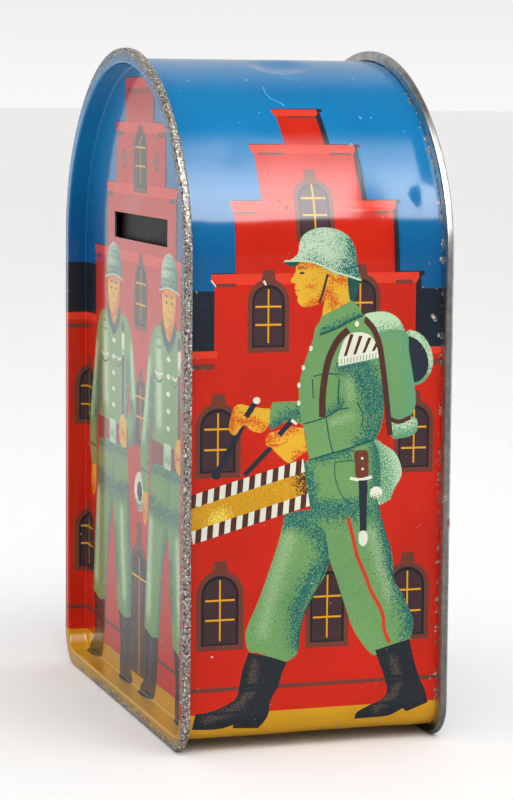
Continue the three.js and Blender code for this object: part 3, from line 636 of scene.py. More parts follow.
# A hair scratch and some nicks in the varnish of the sky.
SCRATCH = srgb(96, 176, 222)
side_print(stroke([(-3.2, 111.4), (-3.5, 109.6), (-3.1, 107.6), (-1.9, 106.4), (-1.2, 105.4)], 0.16, 0.22),
    SCRATCH)
for nick in ((-15.4, 112.8, 0.3), (-5.4, 113.6, 0.34), (12.9, 114.5, 0.3), (10.7, 102.6, 0.36),
        (12.5, 102.6, 0.26), (-6.0, 103.6, 0.2), (-9.9, 101.2, 0.18), (-17.6, 109.4, 0.2),
        (3.8, 107.6, 0.16), (17.2, 99.4, 0.2)):
    side_print(circle(nick[:2], nick[2], 7, 0.7), SCRATCH)
side_print(stroke([(-17.4, 74.2), (-16.6, 73.2)], 0.2), CREAM)
side_print(stroke([(-8.9, 74.0), (-8.5, 73.3)], 0.4, 0.25, False), CREAM)


def fill_points(low_u, high_u, low_v, high_v, spacing):
    """Points on a triangular grid in a box."""
    rows = int((high_v - low_v) / (spacing * 0.866))
    columns = int((high_u - low_u) / spacing)
    return [(low_u + (i + 0.31 + 0.5 * (j % 2)) * spacing, low_v + (j + 0.53) * spacing * 0.866)
            for j in range(rows) for i in range(columns)]


def inside(outline, u, v):
    """Which of the points (u, v), two arrays, lie inside an outline."""
    found = numpy.zeros(len(u), bool)
    for a, b in zip(outline, outline[1:] + outline[:1]):
        if a[1] == b[1]:
            continue
        crossed = (a[1] > v) != (b[1] > v)
        found ^= crossed & (u < a[0] + (v - a[1]) * (b[0] - a[0]) / (b[1] - a[1]))
    return found


def press(region, picture, extra_points, creases):
    """Cuts a region into triangles that follow every edge of a picture and every crease, a line of points.
    Returns points, triangles and the topmost shape that each triangle lies in."""
    points, edges = [], []
    for outline in [region] + [shape["outline"] for shape in picture]:
        first, count = len(points), len(outline)
        edges += [(first + k, first + (k + 1) % count) for k in range(count)]
        points += outline
    for crease in creases:
        edges += [(len(points) + k, len(points) + k + 1) for k in range(len(crease) - 1)]
        points += crease
    points += extra_points
    cut = delaunay_2d_cdt([Vector(p) for p in points], edges, [], 0, 1e-5, False)
    flat, triangles = [tuple(p) for p in cut[0]], cut[2]
    middles = numpy.array([[sum(flat[i][n] for i in t) / 3 for n in (0, 1)] for t in triangles])
    u, v = middles[:, 0], middles[:, 1]
    top = numpy.full(len(triangles), -1)
    for index, shape in enumerate(picture):
        outline = shape["outline"]
        low = [min(p[n] for p in outline) for n in (0, 1)]
        high = [max(p[n] for p in outline) for n in (0, 1)]
        near = numpy.nonzero((u > low[0]) & (u < high[0]) & (v > low[1]) & (v < high[1]))[0]
        top[near[inside(outline, u[near], v[near])]] = index
    kept = numpy.nonzero(inside(region, u, v) & (top >= 0))[0]
    return flat, [triangles[k] for k in kept], [int(top[k]) for k in kept]


def distance_to(point, path_):
    """Distance from a point to a line of points."""
    best = 1e9
    for a, b in zip(path_, path_[1:]):
        run = (b[0] - a[0], b[1] - a[1])
        length = run[0] ** 2 + run[1] ** 2 or 1
        t = max(0, min(1, ((point[0] - a[0]) * run[0] + (point[1] - a[1]) * run[1]) / length))
        best = min(best, hypot(point[0] - a[0] - t * run[0], point[1] - a[1] - t * run[1]))
    return best


def dots_at(point, rule):
    """Share of the surface that dots cover at a point of the print."""
    _, reach, paths = rule
    near = min(distance_to(point, path_) for path_ in paths) / (1.35 * reach)
    return 0.85 * max(0.0, 1 - near)


def smooth_step(low, high, value):
    t = max(0.0, min(1.0, (value - low) / (high - low)))
    return t * t * (3 - 2 * t)


class Skin:
    """A sheet's printed face, gathered point by point and face by face, then given its thickness."""

    def __init__(self):
        self.points, self.normals, self.faces, self.inks = [], [], [], []

    def point(self, place, normal):
        self.points.append(tuple(place))
        self.normals.append(tuple(normal))
        return len(self.points) - 1

    def face(self, corners, ink, shade=None, gleam=None, wear=None):
        """ink is the ink at each corner, shade and gleam are (ink, values at the corners), and wear is the
        values at the corners."""
        self.faces.append(tuple(corners))
        blank = (ink[0], [0.0] * len(corners))
        self.inks.append((ink, shade or blank, gleam or blank, wear or [0.0] * len(corners)))

    def build(self, name, materials, thickness=tin):
        count = len(self.points)
        inner = [tuple(p[n] - thickness * d[n] for n in range(3)) for p, d in zip(self.points, self.normals)]
        edges = {}
        for f in self.faces:
            for a, b in zip(f, f[1:] + f[:1]):
                edges[(a, b)] = f
        rim = [(a, b) for a, b in edges if (b, a) not in edges]
        walls = [(b, a, a + count, b + count) for a, b in rim]
        backs = [tuple(i + count for i in reversed(f)) for f in self.faces]
        mesh = bpy.data.meshes.new(name)
        places = [tuple(c * MM for c in p) for p in self.points + inner]
        mesh.from_pydata(places, [], self.faces + backs + walls)
        for material in materials:
            mesh.materials.append(material)
        front = len(self.faces)
        mesh.polygons.foreach_set("material_index", [0] * front + [1] * front + [1] * len(walls))
        mesh.polygons.foreach_set("use_smooth", [True] * (2 * front) + [False] * len(walls))
        corner_normals = [self.normals[i] for f in self.faces for i in f]
        corner_normals += [tuple(-c for c in self.normals[i - count]) for f in backs for i in f]
        mesh.update()
        for k in range(len(walls)):
            corner_normals += [tuple(mesh.polygons[2 * front + k].normal)] * 4
        mesh.normals_split_custom_set(corner_normals)
        loops = sum(len(f) for f in self.faces)
        rest = len(mesh.loops) - loops
        for key, values in (("ink", [i[0] for i in self.inks]), ("shade_ink",
                [[i[1][0]] * 3 for i in self.inks]), ("gleam_ink", [[i[2][0]] * 3 for i in self.inks])):
            layer = mesh.attributes.new(key, "FLOAT_COLOR", "CORNER")
            flat = [c for inks in values for ink in inks for c in ink] + [0.5] * (4 * rest)
            layer.data.foreach_set("color", flat)
        for key, values in (("shade", [i[1][1] for i in self.inks]), ("gleam", [i[2][1] for i in self.inks]),
                            ("wear", [i[3] for i in self.inks])):
            layer = mesh.attributes.new(key, "FLOAT", "CORNER")
            layer.data.foreach_set("value", [v for at in values for v in at] + [0.0] * rest)
        made = bpy.data.objects.new(name, mesh)
        bpy.context.scene.collection.objects.link(made)
        return made


def inked(skin, corners, flat_points, shape, wear=None):
    """Adds a face that takes its ink and dots from a shape of the picture."""
    dots = {}
    for key in ("shade", "gleam"):
        rule = shape[key]
        dots[key] = (rule[0], [dots_at(p, rule) for p in flat_points]) if rule else None
    ink = shape["ink"]
    inks = [ink(p) for p in flat_points] if callable(ink) else [ink] * 3
    skin.face(corners, inks, dots["shade"], dots["gleam"], wear)


flange_start = half_depth - hem_depth + 0.05
flange_bend = 0.45
dents = [(-13.6, 94.6, 8.5, 0.18), (-13.4, 94.4, 3.0, 0.05), (2.2, 121.5, 6.0, 0.85), (17.8, 87.2, 2.4, 0.06),
         (2.6, 115.6, 2.0, 0.1)]


def waviness(u, v):
    """Slow ripples of thin sheet."""
    return 0.035 * sin(0.21 * u + 0.13 * v) + 0.03 * sin(0.34 * v - 0.17 * u + 1.1) + 0.02 * sin(0.5 * u
        + 2.0)


def sheet_depth(u, v):
    """How far the body sheet is pushed in at a place on the drummer's side."""
    fade = smooth_step(20.4, 17.5, abs(u))
    pushed = waviness(u, v) * fade
    for du, dv, radius, deep in dents:
        near = hypot(u - du, v - dv) / radius
        if near < 1:
            pushed += deep * (1 - near**2) ** 2
    return pushed


def sheet_place(u, v, side):
    """The place and outward direction of a point of the flat sheet. side is 1 for +X and -1 for -X."""
    t = abs(u) - flange_start
    toward = 1 if u > 0 else -1
    if t <= 0:
        inset, y, lean = sheet_inset, u, 0.0
    elif t < flange_bend * pi / 2:
        lean = t / flange_bend
        inset = sheet_inset - flange_bend * (1 - cos(lean))
        y = toward * (flange_start + flange_bend * sin(lean))
    else:
        lean = pi / 2
        inset = sheet_inset - flange_bend - (t - flange_bend * pi / 2)
        y = toward * (flange_start + flange_bend)
    x, z, nx, nz = along_outline(v, sheet_inset)
    out = sheet_inset - inset - (sheet_depth(u, v) if side > 0 else 0.6 * waviness(-v, u + 40)
                                 * smooth_step(20.4, 17.5, abs(u)))
    place = (side * (x + nx * out), y, z + nz * out)
    return place, (side * nx * cos(lean), -toward * sin(lean), nz * cos(lean))


def sheet_normal(u, v, side, step=0.15):
    """The direction of the sheet's face, with its dents and ripples."""
    _, plain = sheet_place(u, v, side)
    if abs(u) > flange_start - 0.3 or v > sheet_high - 0.3 or v < foot_radius:
        return plain
    a, b = sheet_place(u - step, v, side)[0], sheet_place(u + step, v, side)[0]
    c, d = sheet_place(u, v - step, side)[0], sheet_place(u, min(v + step, sheet_high), side)[0]
    across_ = Vector(b) - Vector(a)
    made = across_.cross(Vector(d) - Vector(c)).normalized()
    return tuple(made if made.dot(Vector(plain)) > 0 else -made)


bend_places = [flange_start + flange_bend * pi / 2 * k / 3 for k in range(4)] + [print_half]
print_creases = [[(toward * place, sheet_low + (sheet_high - sheet_low) * j / 170) for j in range(171)]
                 for toward in (-1, 1) for place in bend_places]
seam_gap = rectangle(-half_depth + 4.1, half_depth - 4.1, 2.65 + sheet_low, 3.05 + sheet_low)
region = rectangle(-print_half, print_half, sheet_low, sheet_high)
hole_at = len(drummer_side)
side_print(seam_gap, GROUND)
grid = fill_points(-20.5, 20.5, 3, 84, 0.8) + fill_points(-20.5, 20.5, 84, sheet_high - 0.4, 0.9)
grid += fill_points(-20.5, 20.5, sheet_low, 3, 1.5)
flat_points, flat_faces, flat_shapes = press(region, drummer_side, grid, print_creases)
sheet = Skin()
crown_points = {}
for side in (1, -1):
    kept = {}
    for triangle, top in zip(flat_faces, flat_shapes):
        if top == hole_at and side > 0:
            continue
        shape = drummer_side[top]
        corners = []
        for i in triangle:
            u, v = flat_points[i]
            on_joint = min(v - sheet_low, sheet_high - v) < 1e-6
            joint_key = (round(u, 5), v > 0)
            if i not in kept and on_joint and joint_key in crown_points:
                kept[i] = crown_points[joint_key]
            if i not in kept:
                kept[i] = sheet.point(sheet_place(u, v, side)[0], sheet_normal(u, v, side))
                if on_joint:
                    crown_points[joint_key] = kept[i]
            corners.append(kept[i])
        at = [flat_points[i] for i in triangle]
        wear = [0.5 * smooth_step(19.8, 20.8, abs(p[0])) for p in at]
        if side < 0:
            corners, at, wear = corners[::-1], at[::-1], wear[::-1]
        inked(sheet, corners, at, shape, wear)

printed, nodes, links = new_material("printed_tin")
skin_shader = nodes["Principled BSDF"]


def attribute(nodes, name):
    made = nodes.new("ShaderNodeAttribute")
    made.attribute_name = name
    return made


def noise(nodes, links, scale, detail=2.0, roughness=0.5, stretch=None):
    """Noise on object coordinates. Its scale is in features per metre."""
    where = nodes.new("ShaderNodeTexCoord")
    made = nodes.new("ShaderNodeTexNoise")
    made.inputs["Scale"].default_value = scale
    made.inputs["Detail"].default_value = detail
    made.inputs["Roughness"].default_value = roughness
    source = where.outputs["Object"]
    if stretch:
        mapping = nodes.new("ShaderNodeMapping")
        mapping.inputs["Scale"].default_value = stretch
        links.new(source, mapping.inputs["Vector"])
        source = mapping.outputs["Vector"]
    links.new(source, made.inputs["Vector"])
    return made


def blend_colour(nodes, links, factor, first, second):
    """Mixes two colours, each a socket or a value."""
    made = nodes.new("ShaderNodeMix")
    made.data_type = "RGBA"
    for key, colour in (("A", first), ("B", second)):
        if isinstance(colour, tuple):
            made.inputs[key].default_value = colour
        else:
            links.new(colour, made.inputs[key])
    links.new(factor, made.inputs["Factor"])
    return made.outputs["Result"]


def dot_mask(nodes, links, share, grain):
    """Where a grain's noise is under the share of dots."""
    lifted = arithmetic(nodes, links, "MULTIPLY_ADD", share, 0.38, 0.3)
    return ramp(nodes, links, arithmetic(nodes, links, "SUBTRACT", lifted, grain), -0.03, 0.03)


# Inks: flat colours, with dots of a second and a third ink where the printer's plate shades them.
grain = noise(nodes, links, 4600, 1.0).outputs["Fac"]
colour = attribute(nodes, "ink").outputs["Color"]
dots = dot_mask(nodes, links, attribute(nodes, "shade").outputs["Fac"], grain)
colour = blend_colour(nodes, links, dots, colour, attribute(nodes, "shade_ink").outputs["Color"])
pale_grain = noise(nodes, links, 4200, 1.0, 0.5, (1.1, 1.0, 1.2)).outputs["Fac"]
dots = dot_mask(nodes, links, attribute(nodes, "gleam").outputs["Fac"], pale_grain)
colour = blend_colour(nodes, links, dots, colour, attribute(nodes, "gleam_ink").outputs["Color"])
# Uneven ink film and yellowed varnish.
film = noise(nodes, links, 60, 3.0, 0.6).outputs["Fac"]
film_tint = blend_colour(nodes, links, ramp(nodes, links, film, 0.35, 0.68), (0.88, 0.9, 0.92, 1),
    (1.0, 0.99, 0.96, 1))
tinted = nodes.new("ShaderNodeMix")
tinted.data_type = "RGBA"
tinted.blend_type = "MULTIPLY"
tinted.inputs["Factor"].default_value = 1.0
links.new(colour, tinted.inputs["A"])
links.new(film_tint, tinted.inputs["B"])
colour = tinted.outputs["Result"]
# Worn edges: bare tin, brown rust and flecks of white ground coat. Tiny chips everywhere.
edge = attribute(nodes, "wear").outputs["Fac"]
flake = noise(nodes, links, 2000, 4.0, 0.65).outputs["Fac"]
chip = noise(nodes, links, 900, 5.0, 0.7).outputs["Fac"]
bare = dot_mask(nodes, links, edge, chip)
few = ramp(nodes, links, noise(nodes, links, 330, 2.0, 0.5).outputs["Fac"], 0.745, 0.755)
metal_colour = blend_colour(nodes, links, ramp(nodes, links, flake, 0.4, 0.54), srgb(84, 66, 54),
    srgb(150, 146, 140))
white = ramp(nodes, links, noise(nodes, links, 2600, 1.0).outputs["Fac"], 0.6, 0.63)
metal_colour = blend_colour(nodes, links, white, metal_colour, srgb(226, 224, 216))
gone = arithmetic(nodes, links, "MAXIMUM", bare, few)
colour = blend_colour(nodes, links, gone, colour, metal_colour)
links.new(colour, skin_shader.inputs["Base Color"])
metallic = arithmetic(nodes, links, "MULTIPLY", bare, 0.35)
links.new(metallic, skin_shader.inputs["Metallic"])
skin_shader.inputs["Specular IOR Level"].default_value = 0.1
skin_shader.inputs["Coat IOR"].default_value = 1.42
skin_shader.inputs["Coat Roughness"].default_value = 0.09
coat = arithmetic(nodes, links, "SUBTRACT", 1.0, gone)
links.new(coat, skin_shader.inputs["Coat Weight"])
rough = ramp(nodes, links, film, 0.3, 0.7, 0.34, 0.5)
links.new(rough, skin_shader.inputs["Roughness"])
peel = noise(nodes, links, 260, 2.0, 0.5).outputs["Fac"]
relief = arithmetic(nodes, links, "MULTIPLY_ADD", peel, 0.25,
    arithmetic(nodes, links, "MULTIPLY", gone, -0.9))
bump = nodes.new("ShaderNodeBump")
bump.inputs["Strength"].default_value = 0.35
bump.inputs["Distance"].default_value = 0.00008
links.new(relief, bump.inputs["Height"])
links.new(bump.outputs["Normal"], skin_shader.inputs["Normal"])
coat_bump = nodes.new("ShaderNodeBump")
coat_bump.inputs["Strength"].default_value = 0.12
coat_bump.inputs["Distance"].default_value = 0.00008
links.new(peel, coat_bump.inputs["Height"])
links.new(coat_bump.outputs["Normal"], skin_shader.inputs["Coat Normal"])


def metal_material(name, bright, dark, roughness, rust, rust_share, brushed=(1, 1, 1), metallic=1.0):
    """Sheet or wire: two tones of metal in fine streaks, with rust where a coarse noise is high."""
    made, nodes, links = new_material(name)
    shader = nodes["Principled BSDF"]
    streak = noise(nodes, links, 700, 4.0, 0.6, brushed).outputs["Fac"]
    cloud = noise(nodes, links, 90, 4.0, 0.6).outputs["Fac"]
    colour = blend_colour(nodes, links, ramp(nodes, links, streak, 0.35, 0.65), dark, bright)
    spot = noise(nodes, links, 520, 5.0, 0.7).outputs["Fac"]
    rusty = ramp(nodes, links, arithmetic(nodes, links, "MULTIPLY", cloud, spot), rust_share, rust_share
        + 0.06)
    colour = blend_colour(nodes, links, rusty, colour, rust)
    links.new(colour, shader.inputs["Base Color"])
    unrusted = arithmetic(nodes, links, "SUBTRACT", 1.0, rusty)
    links.new(arithmetic(nodes, links, "MULTIPLY", unrusted, metallic), shader.inputs["Metallic"])
    base = ramp(nodes, links, cloud, 0.3, 0.7, roughness - 0.04, roughness + 0.05)
    links.new(arithmetic(nodes, links, "MULTIPLY_ADD", rusty, 0.35, base), shader.inputs["Roughness"])
    relief = nodes.new("ShaderNodeBump")
    relief.inputs["Strength"].default_value = 0.12
    relief.inputs["Distance"].default_value = 0.00006
    links.new(arithmetic(nodes, links, "ADD", streak, rusty), relief.inputs["Height"])
    links.new(relief.outputs["Normal"], shader.inputs["Normal"])
    return made


plain = metal_material("plain_tin", srgb(208, 207, 202), srgb(182, 182, 178), 0.33, srgb(106, 74, 54), 0.37)

body_sheet = sheet.build("printed_body_sheet", (printed, plain))

# The lock seam under the base: one end hooked up and back, the other hooked over it.
seam_half = half_depth - 4.1
layer = [(sheet_inset + tin / 2 + n * 0.5) for n in range(4)]
hooked_up = [(0, layer[0]), (2.5, layer[0]), (2.5, layer[2]), (-1.7, layer[2])]
hooked_over = [(1.7, layer[1]), (-2.5, layer[1]), (-2.5, layer[3]), (3.2, layer[3]), (3.2, layer[0]),
    (6.4, layer[0])]


def folded_strip(line, thickness, low, high):
    """Vertices and faces of a closed strip of sheet along Y, folded along a line of (x, z) points."""
    sides = ([], [])
    for i, (x, z) in enumerate(line):
        before, after = line[max(i - 1, 0)], line[min(i + 1, len(line) - 1)]
        into = Vector((x - before[0], z - before[1]))
        out = Vector((after[0] - x, after[1] - z))
        into = (into if i > 0 else out).normalized()
        out = (out if i < len(line) - 1 else into).normalized()
        bisector = (into + out).normalized()
        across_ = Vector((-bisector.y, bisector.x))
        reach = thickness / 2 / across_.dot(Vector((-into.y, into.x)))
        for sign, rail in zip((-1, 1), sides):
            rail.append((x + across_.x * sign * reach, z + across_.y * sign * reach))
    loop = sides[0] + sides[1][::-1]
    count = len(loop)
    points = [(x * MM, y * MM, z * MM) for y in (low, high) for x, z in loop]
    faces = [(i, (i + 1) % count, (i + 1) % count + count, i + count) for i in range(count)]
    half = count // 2
    for i in range(half - 1):
        quad = (i, i + 1, count - 2 - i, count - 1 - i)
        faces.append(quad[::-1])
        faces.append(tuple(k + count for k in quad))
    return points, faces


def mesh_piece(name, points, faces, material, smooth=False):
    """A piece from points and faces, turned to face outwards."""
    mesh = bpy.data.meshes.new(name)
    mesh.from_pydata(points, [], faces)
    work = bmesh.new()
    work.from_mesh(mesh)
    bmesh.ops.recalc_face_normals(work, faces=work.faces)
    work.to_mesh(mesh)
    work.free()
    mesh.materials.append(material)
    mesh.polygons.foreach_set("use_smooth", [smooth] * len(mesh.polygons))
    made = bpy.data.objects.new(name, mesh)
    bpy.context.scene.collection.objects.link(made)
    return made


seam_points, seam_faces = folded_strip(hooked_up, tin, -seam_half, seam_half)
more_points, more_faces = folded_strip(hooked_over, tin, -seam_half, seam_half)
seam_faces += [tuple(i + len(seam_points) for i in f) for f in more_faces]
base_seam = mesh_piece("base_lock_seam", seam_points + more_points, seam_faces, plain)
for piece in (body_sheet, base_seam):
    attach(piece, "shell")
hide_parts("body_sheet")


# ---- Printed front panel ----
# A second printed sheet, pressed inwards like a shallow tray. Its edge is turned out and folded back over
# the body's flange, which makes the rim, and a coin slot is punched through it. Two guards stand at the
# door of the same house.
face_offset = 2.9      # the flat face, inside the rim's outline
face_depth = 18.6
wall_offset = 2.5
edge_round = 0.4
rim_fold = half_depth - hem_depth
quarter = edge_round * pi / 2
rim_runs = [("fillet", quarter), ("wall", half_depth - 2 * edge_round - face_depth), ("lip", quarter),
            ("top", wall_offset - 2 * edge_round), ("corner", quarter),
            ("edge", hem_depth - 2 * edge_round), ("turn", quarter), ("return", 1.1)]


def rim_profile(t):
    """At a length t from the flat face, over the rim: offset from the outline, depth from the middle of
    the box, and the face's direction as (outwards, along Y)."""
    for name, run in rim_runs:
        if t <= run or name == "return":
            break
        t -= run
    a = t / edge_round
    r = edge_round
    if name == "fillet":
        return face_offset - r * sin(a), face_depth + r - r * cos(a), -sin(a), cos(a)
    if name == "wall":
        return wall_offset, face_depth + r + t, -1.0, 0.0
    if name == "lip":
        return wall_offset - r + r * cos(a), half_depth - r + r * sin(a), -cos(a), sin(a)
    if name == "top":
        return wall_offset - r - t, half_depth, 0.0, 1.0
    if name == "corner":
        return r - r * sin(a), half_depth - r + r * cos(a), sin(a), cos(a)
    if name == "edge":
        return 0.0, half_depth - r - t, 1.0, 0.0
    if name == "turn":
        return r - r * cos(a), rim_fold + r - r * sin(a), cos(a), -sin(a)
    return r + t, rim_fold, 0.0, -1.0


def outline_frame(u, v):
    """Offset of a point inside the outline, and the outward direction there."""
    toward = 1 if u >= 0 else -1
    right_u = abs(u)
    turned = atan2(v - crown_z, right_u)
    if v > crown_z and turned >= haunch_turn:
        return crown_radius - hypot(right_u, v - crown_z), (toward * cos(turned), sin(turned))
    if v >= springing:
        reach = hypot(right_u - haunch_x, v - springing)
        return haunch_radius - reach, (toward * (right_u - haunch_x) / reach, (v - springing) / reach)
    if v < foot_radius and right_u > foot_x:
        reach = hypot(right_u - foot_x, v - foot_radius)
        return foot_radius - reach, (toward * (right_u - foot_x) / reach, (v - foot_radius) / reach)
    if v < foot_radius:
        return v, (0.0, -1.0)
    return half_width - right_u, (float(toward), 0.0)


def outline_loop(offset, step=1.1):
    """Points round the outline at an offset, from the middle of the base to the middle of the base."""
    foot, haunch, crown = lengths_at(offset)
    runs = [foot_x, foot, springing - foot_radius, haunch, crown]
    stops = [foot_radius - foot - foot_x]
    for run, longest in zip(runs, (3, 0.9, 2.2, step, step)):
        pieces = max(1, round(run / longest))
        start = stops[-1]
        stops += [start + run * (k + 1) / pieces for k in range(pieces)]
    half_loop = [along_outline(s, offset)[:2] for s in stops]
    return half_loop + [(-x, z) for x, z in half_loop[-2::-1]]


def pressed_panel(name, side, picture, holes, spacing, worn, materials):
    """An end panel, from a picture laid out flat. side is -1 in front and 1 behind; worn gives the wear at
    a length over the rim. holes are outlines of what is punched out."""
    rim_length = sum(run for _, run in rim_runs)
    region = outline_loop(face_offset - rim_length)[:-1]
    starts, bends = 0.0, [0.0]
    for run_name, run in rim_runs:
        bent = run_name in ("fillet", "lip", "corner", "turn")
        bends += [starts + run * k / 3 for k in (1, 2, 3)] if bent else [starts + run]
        starts += run
    creases = [outline_loop(face_offset - t) for t in bends[:-1]]
    base = len(picture)
    picture = picture + [{"outline": hole, "ink": GROUND, "shade": None, "gleam": None} for hole in holes]
    inner = [p for p in fill_points(-half_width, half_width, 1, height, spacing)
             if outline_frame(*p)[0] > face_offset + 0.5 * spacing]
    flat_points, flat_faces, flat_shapes = press(region, picture, inner, creases)
    skin, kept = Skin(), {}
    for triangle, top in zip(flat_faces, flat_shapes):
        if top >= base:
            continue
        shape = picture[top]
        wear = []
        for i in triangle:
            u, v = flat_points[i]
            offset, out = outline_frame(u, v)
            t = face_offset - offset
            wear.append(worn(t, u))
            if i in kept:
                continue
            if t <= 0:
                ripple = 0.7 * waviness(u + 30 * side, v) * smooth_step(0, 6, -t)
                place = (u, side * (face_depth - abs(ripple)), v)
                kept[i] = skin.point(place, (0.0, float(side), 0.0))
                continue
            rim_offset, y, n_out, n_y = rim_profile(t)
            x, z = u + out[0] * (offset - rim_offset), v + out[1] * (offset - rim_offset)
            kept[i] = skin.point((x, side * y, z), (out[0] * n_out, side * n_y, out[1] * n_out))
        corners = [kept[i] for i in triangle]
        at = [flat_points[i] for i in triangle]
        if side > 0:
            corners, at, wear = corners[::-1], at[::-1], wear[::-1]
        inked(skin, corners, at, shape, wear)
    return skin.build(name, materials)


reach = half_width + 8
guard_front = []
front_print = partial(lay, guard_front)
front_print_window = partial(lay_window, guard_front)
front_print(rectangle(-reach, reach, -8, 5.8), GROUND)
front_print(rectangle(-reach, reach, 5.8, 63.2), BRICK)
front_print(rectangle(-reach, reach, 63.2, 72.6), DUSK)
front_print(rectangle(-reach, reach, 72.6, height + 8), lit_sky)
lay_steps(guard_front, [(-9.2, 7.9, 105.2, 97), (-15.2, 15.0, 97.8, 87), (-21.4, 21.6, 87.5, 75.5),
                        (-29.4, 28.6, 76.2, 62.5)], 0.8)
front_print(rectangle(-reach, -28.9, 62.3, 63.6), CORNICE)
front_print(rectangle(28.1, reach, 62.3, 63.6), CORNICE)
for i in range(13):
    front_print(rectangle(-7.4 + 1.15 * i, -6.8 + 1.15 * i, 102.5, 103.3), FRAME_BROWN)
for low_left, low_right, level in ((-14.8, -10.6, 95.9), (10.6, 14.6, 95.9), (-20.9, -17.6, 85.5),
        (17.8, 21.2, 85.5), (-28.8, -25.6, 74.3), (25.4, 28.2, 74.3), (-40, -33.8, 61.2), (33.8, 40, 61.2)):
    front_print(rectangle(low_left, low_right, level - 0.4, level + 0.4), FRAME_BROWN)
for middle in (-10.2, 10.2):
    front_print(circle((middle, 91.6), 1.7, 12), FRAME_BROWN)
    front_print(circle((middle, 91.6), 1.25, 12), BRICK)
    front_print(rectangle(middle - 1.2, middle + 1.2, 91.45, 91.75), FRAME_BROWN)
    front_print(rectangle(middle - 0.15, middle + 0.15, 90.4, 92.8), FRAME_BROWN)
front_print(rectangle(-reach, reach, 9.6, 10.3), FRAME_BROWN)
for window in (
        (0, 86.2, 97.0, 4.4, (93.7, 90.6), 3.2, None, 0.4),
        (0.6, 63.4, 75.0, 4.2, (71.2, 67.7), 3.1, None, 1.2),
        (0.6, 43.6, 55.6, 4.2, (52.2, 48.8), 3.0, None, 1.2)):
    front_print_window(*window)
for middle in (-34.2, 34.2):
    front_print_window(middle, 43.4, 54.6, 3.9, (50.3, 47.0), 2.7)
    front_print_window(middle, 16.6, 28.4, 3.9, (24.8, 21.6), 2.7)
front_print(circle((0.2, 36.2), 3.4, 24), CREAM, shade=(PANE, 1.0,
    [[(-2.6, 34.4), (0.2, 33.4), (2.8, 34.6)]]))
front_print(circle((0.2, 36.3), 1.7, 20), srgb(44, 74, 84), shade=(PANE_EDGE, 1.4,
    [[(0.2, 36), (0.6, 35.6)]]))
front_print([(-1.9, 26), (2.2, 26), (1.5, 31), (-1.2, 31)], FRAME_BROWN)
front_print(round_top(0.15, 6.2, 4.8, 27.6), FRAME_BROWN)
front_print(round_top(0.15, 4.9, 4.8, 26.2), PANE_EDGE)
front_print(rectangle(-4.2, 4.5, 4.8, 21.0), srgb(98, 60, 44),
    shade=(PANE, 3.0, [[(-4, 5), (-4, 21)], [(4.4, 5), (4.4, 21)]]))
front_print(rectangle(-4.6, 4.9, 21.4, 21.8), BAR)
front_print(rectangle(0.0, 0.35, 5.2, 25.2), BAR)
for middle in (-2.1, 2.45):
    for low_z, high_z in ((6.6, 12.4), (13.8, 19.6)):
        front_print(rectangle(middle - 1.3, middle + 1.3, low_z, high_z), srgb(74, 46, 40))


